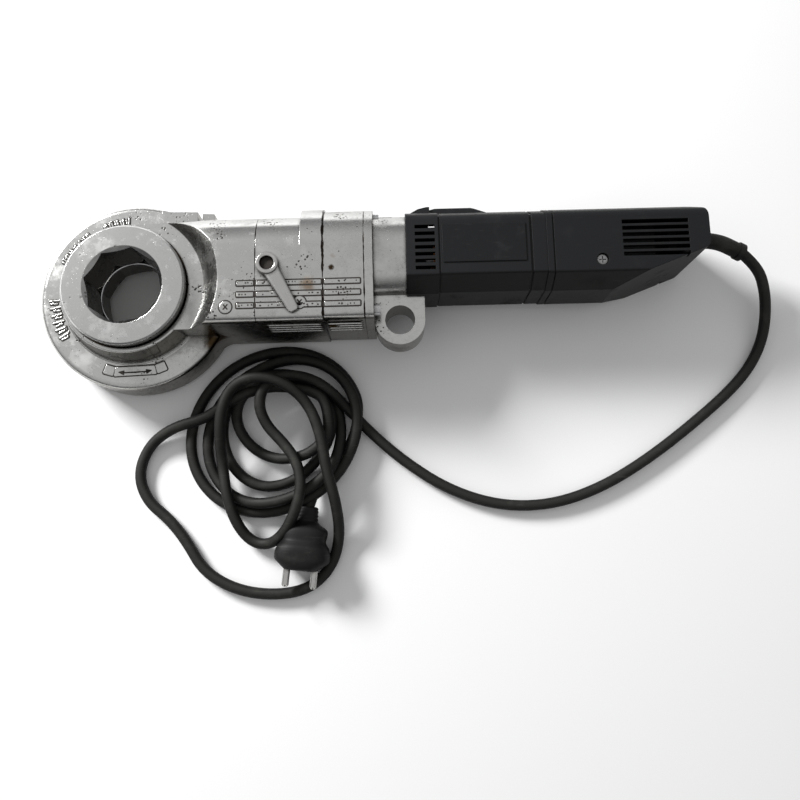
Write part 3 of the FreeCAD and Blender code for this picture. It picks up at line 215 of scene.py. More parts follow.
def settle(line, order):
    """Height = the highest of: floor; lower stretch + what two round cords need at that crossing, less
    the square of the distance along the cord over twice the hump's radius."""
    step = np.linalg.norm(np.diff(line, axis=0), axis=1)
    along = np.concatenate([[0], np.cumsum(step)])
    apart = np.linalg.norm(line[:, None] - line[None], axis=2)
    between = np.abs(along[:, None] - along[None])
    rests_on = (order[:, None] > order[None]) & (apart < LAY_APART) & (between > SAME_STRETCH)
    lift = np.sqrt(np.maximum(LAY_APART ** 2 - apart ** 2, 0))
    fall = between ** 2 / (2 * HUMP_RADIUS)
    height = np.full(len(line), CORD_ON_FLOOR)
    for _ in range(LAYERS_AT_MOST):
        need = np.where(rests_on, height[None] + lift, 0).max(axis=1)
        height = np.maximum(CORD_ON_FLOOR, (need[None] - fall).max(axis=1))
    return height


whole_plan = np.concatenate([cord_plan, np.array(LEAD_TO_TOOL)[:LEAD_POINTS_ON_FLOOR, :2]])
fine_line = soft_line(whole_plan)
point_number = 1 + np.arange(len(fine_line)) / STEPS_A_SPAN - 0.5
loop_start = len(FROM_PLUG) + len(COIL_OVALS) * POINTS_A_TURN - 1 + len(OUT_OF_COIL)
over_start = loop_start + len(FLOOR_LOOP)
inner_start, inner_end = over_start + INNER_LOOP_FROM, over_start + INNER_LOOP_TO
laid_order = np.interp(
    point_number,
    [0, over_start - 2, over_start + 1, inner_start, inner_start + 1, inner_end, len(whole_plan)],
    [0, 1, 3, 3.1, 2.0, 2.1, 2.2],
)
fine_height = settle(fine_line, laid_order)
plan_height = np.interp(np.arange(len(cord_plan)), point_number, fine_height)
print("highest middle of the cord mm", round(plan_height.max() * 1000, 1))

# %% Make the cord
HEIGHT_IN_PLUG = 0.010
HEIGHT_PAST_PLUG = 0.009
cord_points = np.concatenate([np.column_stack([cord_plan, plan_height]), LEAD_TO_TOOL])
cord_points[0, 2] = HEIGHT_IN_PLUG
cord_points[1, 2] = max(cord_points[1, 2], HEIGHT_PAST_PLUG)
cord_curve = bpy.data.curves.new("mains_cord", "CURVE")
cord_curve.dimensions = "3D"
cord_curve.bevel_depth = CORD_DIAMETER / 2
cord_curve.bevel_resolution = 5
cord_curve.resolution_u = 6
cord_curve.use_fill_caps = True
spline = cord_curve.splines.new("NURBS")
spline.points.add(len(cord_points) - 1)
spline.points.foreach_set("co", np.column_stack([cord_points, np.ones(len(cord_points))]).ravel())
spline.order_u = 3
spline.use_endpoint_u = True
spline.use_smooth = True
mains_cord = bpy.data.objects.new("mains_cord", cord_curve)
bpy.context.scene.collection.objects.link(mains_cord)

# %% [markdown]
# ## Moulded plug
# A two-pin plug moulded onto the cord: a slim neck, grip shoulders and a wide flat body. It is a profile
# carried along the plug's axis. Each cross-section is a rounded oblong whose half width and half height
# are read from a short table, and the whole is turned a little, as it lies.

# %% Plug body
PLUG_X, PLUG_Y, PLUG_TURN = 0.1130, -0.1835, radians(-7.0)
PLUG_PROFILE = np.array(
    [  # place along the axis, half width, half height, middle height, in mm
        (-7.5, 5.0, 5.0, 13.2), (-7.2, 10.5, 9.0, 13.2), (-6.0, 12.6, 11.0, 13.2),
        (-3.5, 15.6, 12.2, 13.2), (-1.0, 18.4, 12.9, 13.1), (2.0, 19.0, 13.0, 13.1),
        (5.5, 18.6, 13.0, 13.1), (8.5, 17.4, 12.6, 12.9), (11.0, 15.6, 11.6, 12.4),
        (13.0, 14.8, 11.0, 12.0), (17.0, 15.4, 10.8, 11.8), (20.0, 15.2, 10.4, 11.6),
        (22.0, 13.2, 9.6, 11.2), (24.0, 9.6, 8.0, 10.6), (26.5, 7.7, 6.6, 10.0),
        (31.0, 7.4, 6.2, 9.9), (35.0, 6.9, 5.9, 9.9), (36.0, 5.6, 5.0, 9.9),
    ]
) / 1000
PLUG_ROWS = 100
ROUND_POINTS = 48
SQUARENESS = 0.72
NECK_RING_PITCH = 0.0026
NECK_RING_DEPTH = 0.03
NECK_MIDDLE, NECK_HALF = 0.0305, 0.0045
PLUG_ABOVE_FLOOR = 0.0002


def smooth_rows(table, rows):
    """Reads each column of a table at evenly spaced rows, through Catmull-Rom curves."""
    place = np.linspace(0, len(table) - 1, rows)
    cell = np.minimum(place.astype(int), len(table) - 2)
    t = (place - cell)[:, None]
    before, here = table[np.maximum(cell - 1, 0)], table[cell]
    after, later = table[cell + 1], table[np.minimum(cell + 2, len(table) - 1)]
    bend = 2 * before - 5 * here + 4 * after - later
    twist = 3 * (here - after) + later - before
    return here + 0.5 * t * (after - before + t * (bend + t * twist))


def plug_shell():
    """Point (row, angle) = axis place + (half width cos^e, half height sin^e), a rounded oblong."""
    along, half_width, half_height, middle = smooth_rows(PLUG_PROFILE, PLUG_ROWS).T
    angle = np.linspace(0, 2 * pi, ROUND_POINTS, endpoint=False)
    across = np.sign(np.cos(angle)) * np.abs(np.cos(angle)) ** SQUARENESS
    up = np.sign(np.sin(angle)) * np.abs(np.sin(angle)) ** SQUARENESS
    in_ring = (np.cos(along * 2 * pi / NECK_RING_PITCH) > 0.2) * (np.abs(along - NECK_MIDDLE) < NECK_HALF)
    grip = 1 - NECK_RING_DEPTH * in_ring
    x = (half_width * grip)[:, None] * across[None]
    z = middle[:, None] + (half_height * grip)[:, None] * up[None]
    y = np.broadcast_to(along[:, None], x.shape)
    rings = np.stack([x, y, np.maximum(z, PLUG_ABOVE_FLOOR)], -1)
    ends = np.array([[0, along[0], middle[0]], [0, along[-1], middle[-1]]])
    return rings[None, ::-1], ends[None, ::-1]


def lay_plug(points):
    """Turns and moves points from the plug's own axes to where it lies."""
    x, y, z = np.moveaxis(points, -1, 0)
    return np.stack([PLUG_X + x * cos(PLUG_TURN) - y * sin(PLUG_TURN),
                     PLUG_Y + x * sin(PLUG_TURN) + y * cos(PLUG_TURN), z], -1)


plug_rings, plug_ends = plug_shell()
moulded_plug = shell("moulded_plug", lay_plug(plug_rings), lay_plug(plug_ends))

# %% [markdown]
# ## Raised marks of the castings
# The castings carry raised lettering and framed bars. The real words are left out; plain strokes of the
# same size stand for them. Every mark is the round-cornered hull of a few corners: in each direction, the
# corner that reaches furthest, plus a corner radius. A pad steps in and up from that outline.

# %% Helpers for pads
AROUND = 40
PAD_STEPS_IN = np.array([0.0, 0.0, 0.12, 0.45, 0.95])
PAD_STEPS_UP = np.array([-0.6, 0.45, 0.8, 1.0, 1.0])
TURN_ANGLES = np.linspace(0, 2 * pi, AROUND, endpoint=False)
TURN_DIRECTIONS = np.stack([np.cos(TURN_ANGLES), np.sin(TURN_ANGLES)], -1)


def hull(corners):
    """corners[piece, corner, xy] -> the corner furthest out in each direction, [piece, direction, xy]."""
    reach = np.einsum("pck,dk->pcd", corners, TURN_DIRECTIONS)
    return np.take_along_axis(corners, reach.argmax(axis=1)[..., None], axis=1)


def oblongs(x, y, half_length, half_width, turn=0.0):
    """The four corners of each oblong, turned about its middle."""
    x, y, half_length, half_width, turn = np.broadcast_arrays(x, y, half_length, half_width, turn)
    sides = np.array([(1, 1), (-1, 1), (-1, -1), (1, -1)], float)
    u = sides[None, :, 0] * half_length[:, None]
    v = sides[None, :, 1] * half_width[:, None]
    c, s = np.cos(turn)[:, None], np.sin(turn)[:, None]
    return np.stack([x[:, None] + u * c - v * s, y[:, None] + u * s + v * c], -1)


def pads(corners, corner_radius, height, base):
    """Rings step from under the face straight up, then in over a rounded edge, to the top's middle."""
    outline = hull(corners)
    inset = corner_radius * PAD_STEPS_IN
    level = base + height * PAD_STEPS_UP
    reach = (corner_radius - inset)[None, :, None, None] * TURN_DIRECTIONS[None, None]
    flat = outline[:, None] + reach
    levels = np.broadcast_to(level[None, :, None, None], flat.shape[:3] + (1,))
    rings = np.concatenate([flat, levels], -1)
    middle = corners.mean(axis=1)
    low, high = (np.column_stack([middle, np.full(len(middle), z)]) for z in (level[0], level[-1]))
    ends = np.stack([low, high], 1)
    return rings, ends


def round_the_head(points, radius, middle_angle):
    """Bends flat x along a circle round the ring's axis: angle = middle angle + x / radius. A greater y
    lies nearer the axis."""
    angle = middle_angle + points[..., 0] / radius
    out = radius - points[..., 1]
    return np.stack([out * np.cos(angle), out * np.sin(angle), points[..., 2]], -1)


# %% Marks on the flange round the drive ring
FLANGE_TOP = 0.0310
BAND_RADIUS = 0.0548
# Height of the thin dark rings at the foot of the marks, which paint their shade.
SHADE_RING_HEIGHT = 0.00006
STROKE_HALF = 0.00022
LEAN_AT_MOST = 0.12
WORD_ROWS = (  # middle angle, strokes, half height, pitch
    (radians(196), 6, 0.0036, 0.0052),
    (radians(139), 7, 0.0026, 0.0040),
    (radians(104), 5, 0.0024, 0.0040),
)
random = np.random.default_rng(7)


def strokes(count, pitch, tall, start):
    """A row of upright strokes, shorter second strokes and cross strokes between them, without letters."""
    x = start + pitch * np.arange(count)
    lean = random.uniform(-LEAN_AT_MOST, LEAN_AT_MOST, count)
    upright = oblongs(x, 0.0, STROKE_HALF, tall, lean)
    second_y = random.uniform(-0.3, 0.3, count) * tall
    second = oblongs(x + pitch * 0.42, second_y, STROKE_HALF, tall * 0.62, -lean)
    cross_y = random.uniform(-0.9, 0.9, count) * tall
    cross = oblongs(x + pitch * 0.21, cross_y, pitch * 0.2, 0.00018)
    return np.concatenate([upright, second, cross])


words = [(strokes(count, pitch, tall, -pitch * (count - 1) / 2), middle_angle)
         for middle_angle, count, tall, pitch in WORD_ROWS]


def bent_pads(name, rows, corner_radius, height, base=FLANGE_TOP):
    """Pads for several rows of corners, each bent round the ring's axis at its own angle."""
    rings, ends = [], []
    for corners, middle in rows:
        flat_rings, flat_ends = pads(np.asarray(corners), corner_radius, height, base)
        rings.append(round_the_head(flat_rings, BAND_RADIUS, middle))
        ends.append(round_the_head(flat_ends, BAND_RADIUS, middle))
    return shell(name, np.concatenate(rings), np.concatenate(ends))


flange_strokes = bent_pads("flange_strokes", words, 0.00045, 0.0006)
# A wider, thin dark ring under the strokes paints the shade at their foot.
shade_ring_round_strokes = bent_pads("shade_ring_round_strokes", words, 0.00100, SHADE_RING_HEIGHT)

# %% [markdown]
# The turning-direction sign is a long frame bent along the flange, with a double arrow between two short
# end fields. The arrow is one shaft and two triangles; each is a hull of its own corners.

# %% Direction sign on the flange
SIGN_ANGLE = radians(272)
FIELD_HEIGHT = 0.0004
fields = [(oblongs([0.0, -0.0180, 0.0180], 0.0, [0.0132, 0.0026, 0.0026], 0.0024), SIGN_ANGLE)]
sign_fields = bent_pads("sign_fields", fields, 0.0010, FIELD_HEIGHT)
# Painted shade: a thin dark ring at the foot of the fields.
shade_ring_round_fields = bent_pads("shade_ring_round_fields", fields, 0.0017, SHADE_RING_HEIGHT)
arrow = np.concatenate(
    [
        oblongs([0.0], [0.0], 0.0078, 0.00012),
        [[(-0.0112, 0), (-0.0078, 0.0013), (-0.0078, -0.0013), (-0.0078, 0)]],
        [[(0.0112, 0), (0.0078, 0.0013), (0.0078, -0.0013), (0.0078, 0)]],
    ]
)
turn_arrow = bent_pads("turn_arrow", [(arrow, SIGN_ANGLE)], 0.0003, 0.0003, FLANGE_TOP + FIELD_HEIGHT)

# %% Raised line inside the band
LINE_RADIUS, LINE_HALF = 0.0485, 0.0007
LINE_POINTS, SECTION_POINTS = 180, 10
line_angles = np.linspace(0, 2 * pi, LINE_POINTS, endpoint=False)[:, None]
section = np.linspace(0, 2 * pi, SECTION_POINTS, endpoint=False)[None]
line_reach = LINE_RADIUS + LINE_HALF * np.cos(section)
line_level = FLANGE_TOP + LINE_HALF * np.sin(section) + 0 * line_angles
inner_line = np.stack([line_reach * np.cos(line_angles), line_reach * np.sin(line_angles), line_level], -1)
flange_line = rim("flange_line", inner_line[None])

# %% [markdown]
# ## Bars and round signs on the gear case
# Three long framed bars run over two casting joints, so each is made in three parts that stop at the
# joint. Small worn strokes fill them. Two round signs and a few fine grip ribs finish the case.

# %% Bars, strokes and round signs on top
TOP_FACE = 0.0680
BAR_ROWS = (-0.0050, -0.0125, -0.0200)
BAR_SPANS = ((0.0780, 0.0893), (0.0907, 0.1332), (0.1350, 0.1586))
BAR_HALF_TALL = 0.0011
BAR_END_GAP = 0.0006
BAR_HEIGHT = 0.0003
bars = np.array([(low, high, row) for row in BAR_ROWS for low, high in BAR_SPANS])
bar_half = (bars[:, 1] - bars[:, 0]) / 2 - BAR_END_GAP
bar_corners = oblongs((bars[:, 0] + bars[:, 1]) / 2, bars[:, 2], bar_half, BAR_HALF_TALL)
case_bars = shell("case_bars", *pads(bar_corners, 0.0004, BAR_HEIGHT, TOP_FACE))
# Painted shade: a thin dark ring at the foot of the bars.
shade_ring_round_bars = shell("shade_ring_round_bars", *pads(bar_corners, 0.0013, SHADE_RING_HEIGHT, TOP_FACE))

STROKE_PITCH, STROKE_WANDER = 0.0019, 0.0004
KEPT_SHARE = 0.5
HEAD_JOINT, JOINT_CLEAR = 0.0900, 0.0015
STROKE_SPANS = ((0.0800, 0.1320), (0.1370, 0.1575))
stroke_x = np.concatenate([np.arange(low, high, STROKE_PITCH) for low, high in STROKE_SPANS])
stroke_x = np.tile(stroke_x, len(BAR_ROWS))
stroke_x = stroke_x + random.uniform(-STROKE_WANDER, STROKE_WANDER, len(stroke_x))
stroke_y = np.repeat(BAR_ROWS, len(stroke_x) // len(BAR_ROWS))
kept = (random.random(len(stroke_x)) < KEPT_SHARE) & (np.abs(stroke_x - HEAD_JOINT) > JOINT_CLEAR)
stroke_y = stroke_y[kept] + random.uniform(-STROKE_WANDER, STROKE_WANDER, kept.sum())
stroke_half = random.uniform(0.00005, 0.0005, kept.sum())
stroke_corners = oblongs(stroke_x[kept], stroke_y, stroke_half, 0.0003)
bar_strokes = shell("bar_strokes", *pads(stroke_corners, 0.00018, 0.00012, TOP_FACE + BAR_HEIGHT))

SIGN_RADIUS, SIGN_SHADE_RING_RADIUS = 0.0042, 0.0048
SIGN_SHADE_RING_HEIGHT = SHADE_RING_HEIGHT * 1.5
CROSS_TURNS = (radians(50), radians(-50))
round_signs = np.array([(0.0710, -0.0206), (0.1190, -0.0185)])
sign_middles = round_signs[:, None]
round_sign_faces = shell("round_sign_faces", *pads(sign_middles, SIGN_RADIUS, BAR_HEIGHT, TOP_FACE))
# Painted shade: a thin dark ring at the foot of the round signs.
sign_shade_ring = pads(sign_middles, SIGN_SHADE_RING_RADIUS, SIGN_SHADE_RING_HEIGHT, TOP_FACE)
shade_ring_round_signs = shell("shade_ring_round_signs", *sign_shade_ring)
sign_hearts = np.concatenate([oblongs(*round_signs.T, 0.0020, 0.00015, turn) for turn in CROSS_TURNS])
round_sign_hearts = shell("round_sign_hearts", *pads(sign_hearts, 0.0003, 0.00015, TOP_FACE + BAR_HEIGHT))

# %% [markdown]
# Four fine ribs run along the near flank so that a gloved hand doesn't slip. Each is a thin rod half sunk
# in the wall: rings round the X axis that swell from nothing and close again.

# %% Grip ribs on the near flank
FLANK_Y = -0.0298
RIB_LEVELS = (0.0545, 0.0490, 0.0435, 0.0380)
RIB_SPANS = ((0.0950, 0.1328), (0.1355, 0.1596))
RIB_RADIUS = 0.0008
RIB_RINGS, RIB_POINTS = 14, 12


def rods(spans, levels, radius):
    """Point (place, angle) = (x, flank + swelling cos angle, level + swelling sin angle)."""
    share = np.linspace(0, 1, RIB_RINGS)
    swelling = radius * np.clip(np.sin(pi * share) * 5, 0.05, 1)
    turn = np.linspace(0, 2 * pi, RIB_POINTS, endpoint=False)
    rings, ends = [], []
    for low, high in spans:
        for level in levels:
            x = (low + (high - low) * share)[:, None] + 0 * turn
            y = FLANK_Y + swelling[:, None] * np.cos(turn)
            rings.append(np.stack([x, y, level + swelling[:, None] * np.sin(turn)], -1))
            ends.append([(low, FLANK_Y, level), (high, FLANK_Y, level)])
    return np.array(rings), np.array(ends)


grip_ribs = shell("grip_ribs", *rods(RIB_SPANS, RIB_LEVELS, RIB_RADIUS))

# %% [markdown]
# The lever's hub has a sunk, dirty end, and the motor casing carries a blank rating label. Both are thin
# pads, so the helper for the bars makes them too.

# %% Lever hub end and label
HUB_MIDDLE, HUB_SUNK_LEVEL = (0.0985, 0.0068), 0.0740 - 0.0024
CASING_TOP = 0.0660
lever_hub_end = shell("lever_hub_end", *pads(np.array([[HUB_MIDDLE]]), 0.0046, 0.0002, HUB_SUNK_LEVEL))
label_corners = oblongs([0.2405], [0.0200], 0.0270, 0.0125)
rating_label = shell("rating_label", *pads(label_corners, 0.0006, 0.00012, CASING_TOP))

# %% [markdown]
# ## Building a finish from nodes
# A finish is a small tree of nodes.
# Small helpers first: a node with its settings and inputs in one line, and a group with named sockets.


# %% Node helpers
def node(tree, kind, inputs=None, **settings):
    """Adds a node; an input given as a socket is linked, anything else is set on the socket."""
    made = tree.nodes.new(kind)
    for name, value in settings.items():
        setattr(made, name, value)
    for name, value in (inputs or {}).items():
        if isinstance(value, bpy.types.NodeSocket):
            tree.links.new(value, made.inputs[name])
        else:
            made.inputs[name].default_value = value
    return made


def calculate(tree, operation, *values):
    return node(tree, "ShaderNodeMath", dict(enumerate(values)), operation=operation).outputs[0]


def step_between(tree, value, low, high, first=0.0, last=1.0):
    """Smooth step: first below low, last above high."""
    inputs = {"Value": value, "From Min": low, "From Max": high, "To Min": first, "To Max": last}
    made = node(tree, "ShaderNodeMapRange", inputs, interpolation_type="SMOOTHSTEP")
    return made.outputs["Result"]


def blend(tree, mask, first, last):
    """first where the mask is 0, last where it is 1; a colour mix keeps them in sockets 0, 6 and 7."""
    made = node(tree, "ShaderNodeMix", data_type="RGBA")
    for index, value in ((0, mask), (6, first), (7, last)):
        if isinstance(value, bpy.types.NodeSocket):
            tree.links.new(value, made.inputs[index])
        else:
            made.inputs[index].default_value = value
    return made.outputs[2]


def noise(tree, vector, scale, detail=4.0, roughness=0.55):
    inputs = {"Vector": vector, "Scale": scale, "Detail": detail, "Roughness": roughness}
    return node(tree, "ShaderNodeTexNoise", inputs).outputs["Fac"]


def new_group(name, wanted, given):
    """wanted and given list (socket name, kind); returns the tree, its inputs and its result node."""
    tree = bpy.data.node_groups.new(name, "ShaderNodeTree")
    for socket_name, kind in wanted:
        tree.interface.new_socket(socket_name, in_out="INPUT", socket_type=kind)
    for socket_name, kind in given:
        tree.interface.new_socket(socket_name, in_out="OUTPUT", socket_type=kind)
    return tree, tree.nodes.new("NodeGroupInput").outputs, tree.nodes.new("NodeGroupOutput")


def give(tree, result, values):
    for socket_name, value in values.items():
        tree.links.new(value, result.inputs[socket_name])


def height_of_normal(tree):
    """How far the surface faces up: 1 on a level top, 0 on a wall."""
    normal = node(tree, "ShaderNodeNewGeometry").outputs["Normal"]
    return node(tree, "ShaderNodeSeparateXYZ", {0: normal}).outputs["Z"]


VECTOR, NUMBER = "NodeSocketVector", "NodeSocketFloat"

# %% [markdown]
# ## Effects that several finishes share
# Old cast metal shows dark casting pits in loose clusters and cloudy grime. Two more masks paint light and
# shade: how far a face looks up, which gives tops painted light and flanks painted shade, and an occlusion
# mask that paints shade into corners. Each is a mask that the finishes then colour as they need. Stains,
# joint dirt and the scuffs of handled plastic are masks of the same kind.

# %% Group: wear of metal, with painted light and shade
metal_wear_and_painted_shade, given, result = new_group(
    "metal_wear_and_painted_shade",
    [("Vector", VECTOR), ("Pit Scale", NUMBER), ("Grime Scale", NUMBER)],
    [("Pits", NUMBER), ("Grime", NUMBER), ("Up", NUMBER), ("Painted Corner Shade", NUMBER), ("Grain", NUMBER)],
)
PIT_CLUSTERS, SPECKS, SPECK_FIELDS, FINE_CLOUDS, GRAINS = 55.0, 1300.0, 30.0, 210.0, 700.0
CORNER_SHADE_REACH = 0.003
tree, vector = metal_wear_and_painted_shade, given["Vector"]
spots = node(tree, "ShaderNodeTexVoronoi", {"Vector": vector, "Scale": given["Pit Scale"]})
pit_size = step_between(tree, noise(tree, vector, PIT_CLUSTERS, 3.0), 0.44, 0.70, 0.0, 0.36)
pit_gap = calculate(tree, "SUBTRACT", pit_size, spots.outputs["Distance"])
specks = step_between(tree, noise(tree, vector, SPECKS, 2.0), 0.685, 0.72)
speck_fields = step_between(tree, noise(tree, vector, SPECK_FIELDS, 3.0), 0.45, 0.6)
specks = calculate(tree, "MULTIPLY", specks, speck_fields)
cloud = step_between(tree, noise(tree, vector, given["Grime Scale"], 8.0, 0.65), 0.42, 0.72)
fine_cloud = step_between(tree, noise(tree, vector, FINE_CLOUDS, 6.0, 0.7), 0.5, 0.75)
cloud, fine_cloud = calculate(tree, "MULTIPLY", cloud, 0.7), calculate(tree, "MULTIPLY", fine_cloud, 0.5)
# Ambient occlusion finds corners and crevices; the finishes paint shade there.
corner_occlusion = node(tree, "ShaderNodeAmbientOcclusion", {"Distance": CORNER_SHADE_REACH}, samples=6)
give(tree, result, {
    "Pits": calculate(tree, "MAXIMUM", step_between(tree, pit_gap, 0.0, 0.08), specks),
    "Grime": calculate(tree, "ADD", cloud, fine_cloud),
    # Up gives the metal finishes painted light on their tops and painted shade on their flanks.
    "Up": step_between(tree, height_of_normal(tree), 0.2, 0.85),
    "Painted Corner Shade": step_between(tree, corner_occlusion.outputs["AO"], 0.4, 0.9, 1.0, 0.0),
    "Grain": noise(tree, vector, GRAINS, 3.0, 0.7),
})
print("group", metal_wear_and_painted_shade.name, "nodes", len(metal_wear_and_painted_shade.nodes))

# %% Group: a stain round one place
old_stain, given, result = new_group(
    "old_stain", [("Vector", VECTOR), ("Place", VECTOR), ("Reach", NUMBER)], [("Mask", NUMBER)]
)
STAIN_EDGE, STAIN_RAGGED = 160.0, 0.9
tree, vector = old_stain, given["Vector"]
away = node(tree, "ShaderNodeVectorMath", {0: vector, 1: given["Place"]}, operation="DISTANCE")
share = calculate(tree, "DIVIDE", away.outputs["Value"], given["Reach"])
ragged = calculate(tree, "MULTIPLY", noise(tree, vector, STAIN_EDGE), STAIN_RAGGED)
ragged = calculate(tree, "ADD", share, ragged)
give(tree, result, {"Mask": step_between(tree, ragged, 0.75, 1.35, 1.0, 0.0)})
print("group", old_stain.name, "nodes", len(old_stain.nodes))

# %% Group: dirt along a joint of the castings
joint_dirt, given, result = new_group(
    "joint_dirt", [("Vector", VECTOR), ("Joint X", NUMBER), ("Half Width", NUMBER)], [("Mask", NUMBER)]
)
DIRT_WANDER = 130.0
tree, vector = joint_dirt, given["Vector"]
along_x = node(tree, "ShaderNodeSeparateXYZ", {0: vector}).outputs["X"]
off = calculate(tree, "ABSOLUTE", calculate(tree, "SUBTRACT", along_x, given["Joint X"]))
wander = step_between(tree, noise(tree, vector, DIRT_WANDER, 4.0), 0.3, 0.75, 0.55, 2.2)
edge_at = calculate(tree, "MULTIPLY", given["Half Width"], wander)
give(tree, result, {"Mask": calculate(tree, "LESS_THAN", off, edge_at)})
print("group", joint_dirt.name, "nodes", len(joint_dirt.nodes))

# %% Group: handled plastic and rubber, with painted light and shade
handled_and_shade, given, result = new_group(
    "handled_surface_and_shade",
    [("Vector", VECTOR), ("Dust Scale", NUMBER)],
    [("Dust", NUMBER), ("Scuffs", NUMBER), ("Up", NUMBER), ("Grain", NUMBER)],
)
SCUFFS, MOULD_GRAINS = 60.0, 1500.0
SCUFF_TURN, SCUFF_STRETCH = (0, 0, 0.9), (1, 14, 1)
tree, vector = handled_and_shade, given["Vector"]
turned = node(tree, "ShaderNodeMapping", {"Vector": vector, "Rotation": SCUFF_TURN, "Scale": SCUFF_STRETCH})
give(tree, result, {
    "Dust": step_between(tree, noise(tree, vector, given["Dust Scale"], 7.0, 0.7), 0.5, 0.75),
    "Scuffs": step_between(tree, noise(tree, turned.outputs["Vector"], SCUFFS, 2.0), 0.66, 0.74),
    # Up gives the plastics painted light on their tops and painted shade on their sides.
    "Up": step_between(tree, height_of_normal(tree), 0.55, 0.99),
    "Grain": noise(tree, vector, MOULD_GRAINS, 2.0),
})
print("groups", [group.name for group in bpy.data.node_groups])

# %% [markdown]
# ## Metal finishes
# All bare metals here share one recipe with their own colours: flanks get painted shade and tops painted
# light, grime clouds the shine, pits are nearly black and corners get nearly black painted shade. Besides
# that painted light and shade, the Principled shader decides how light comes back, so it stays in the
# material.


# %% How a metal is made
GRIME_LEAVES = 0.45
GRIME_CLOUDS = 38.0
METAL_GRAIN_HEIGHT = 0.00004
JOINT_BLACK = (0.025, 0.02, 0.016, 1)
PIT_BLACK = (0.022, 0.019, 0.016, 1)
# Painted shade: the nearly black colour laid into corners found by occlusion.
CORNER_SHADE_BLACK = (0.03, 0.026, 0.022, 1)


def new_material(name):
    material = bpy.data.materials.new(name)
    material.use_nodes = True
    tree = material.node_tree
    place = node(tree, "ShaderNodeTexCoord").outputs["Object"]
    return material, tree, place, tree.nodes["Principled BSDF"]


def masked_group(tree, group, place, **inputs):
    """Puts a group in a material, with Object coordinates and its own numbers; returns its outputs."""
    made = node(tree, "ShaderNodeGroup", node_tree=group)
    tree.links.new(place, made.inputs["Vector"])
    for socket_name, value in inputs.items():
        made.inputs[socket_name.replace("_", " ")].default_value = value
    return made.outputs


def soften(tree, shader, height, distance, edge):
    """Bump from a height, over a normal that rounds the edges by `edge` metres."""
    bump = node(tree, "ShaderNodeBump", {"Height": height, "Distance": distance})
    if edge:
        rounded = node(tree, "ShaderNodeBevel", {"Radius": edge}, samples=4)
        tree.links.new(rounded.outputs["Normal"], bump.inputs["Normal"])
    tree.links.new(bump.outputs["Normal"], shader.inputs["Normal"])


def metal(name, lit_top_colour, shaded_flank_colour, rough=(0.28, 0.5), pit_scale=420.0, pit_share=1.0, grime_share=0.5,
          corner_shade_share=0.85, stains=(), joints=(), edge=0.0006):
    """Colour = painted shade on flanks to painted light on tops by Up, then grime, stains, joint dirt, pits
    and painted corner shade laid over it.
    """
    material, tree, place, shader = new_material(name)
    out = masked_group(tree, metal_wear_and_painted_shade, place, Pit_Scale=pit_scale, Grime_Scale=GRIME_CLOUDS)
    # Painted light and shade: the lit top colour on faces that look up, the shaded flank colour on walls.
    colour = blend(tree, out["Up"], (*shaded_flank_colour, 1), (*lit_top_colour, 1))
    grimy = node(tree, "ShaderNodeVectorMath", {0: colour, "Scale": GRIME_LEAVES}, operation="SCALE")
    colour = blend(tree, calculate(tree, "MULTIPLY", out["Grime"], grime_share), colour, grimy.outputs[0])
    for stain_place, reach, stain_colour in stains:
        stain = masked_group(tree, old_stain, place, Place=stain_place, Reach=reach)
        colour = blend(tree, stain["Mask"], colour, (*stain_colour, 1))
    for joint_x, half_width in joints:
        dirt = masked_group(tree, joint_dirt, place, Joint_X=joint_x, Half_Width=half_width)
        colour = blend(tree, dirt["Mask"], colour, JOINT_BLACK)
    pit_mask = calculate(tree, "MULTIPLY", out["Pits"], pit_share)
    colour = blend(tree, pit_mask, colour, PIT_BLACK)
    # Painted shade in corners, from the occlusion mask.
    colour = blend(tree, calculate(tree, "MULTIPLY", out["Painted Corner Shade"], corner_shade_share), colour, CORNER_SHADE_BLACK)
    tree.links.new(colour, shader.inputs["Base Color"])
    tree.links.new(step_between(tree, out["Grime"], 0.0, 1.0, *rough), shader.inputs["Roughness"])
    tree.links.new(calculate(tree, "SUBTRACT", 1.0, pit_mask), shader.inputs["Metallic"])
    height = calculate(tree, "SUBTRACT", calculate(tree, "MULTIPLY", out["Grain"], 0.5), pit_mask)
    soften(tree, shader, height, METAL_GRAIN_HEIGHT, edge)
    return material
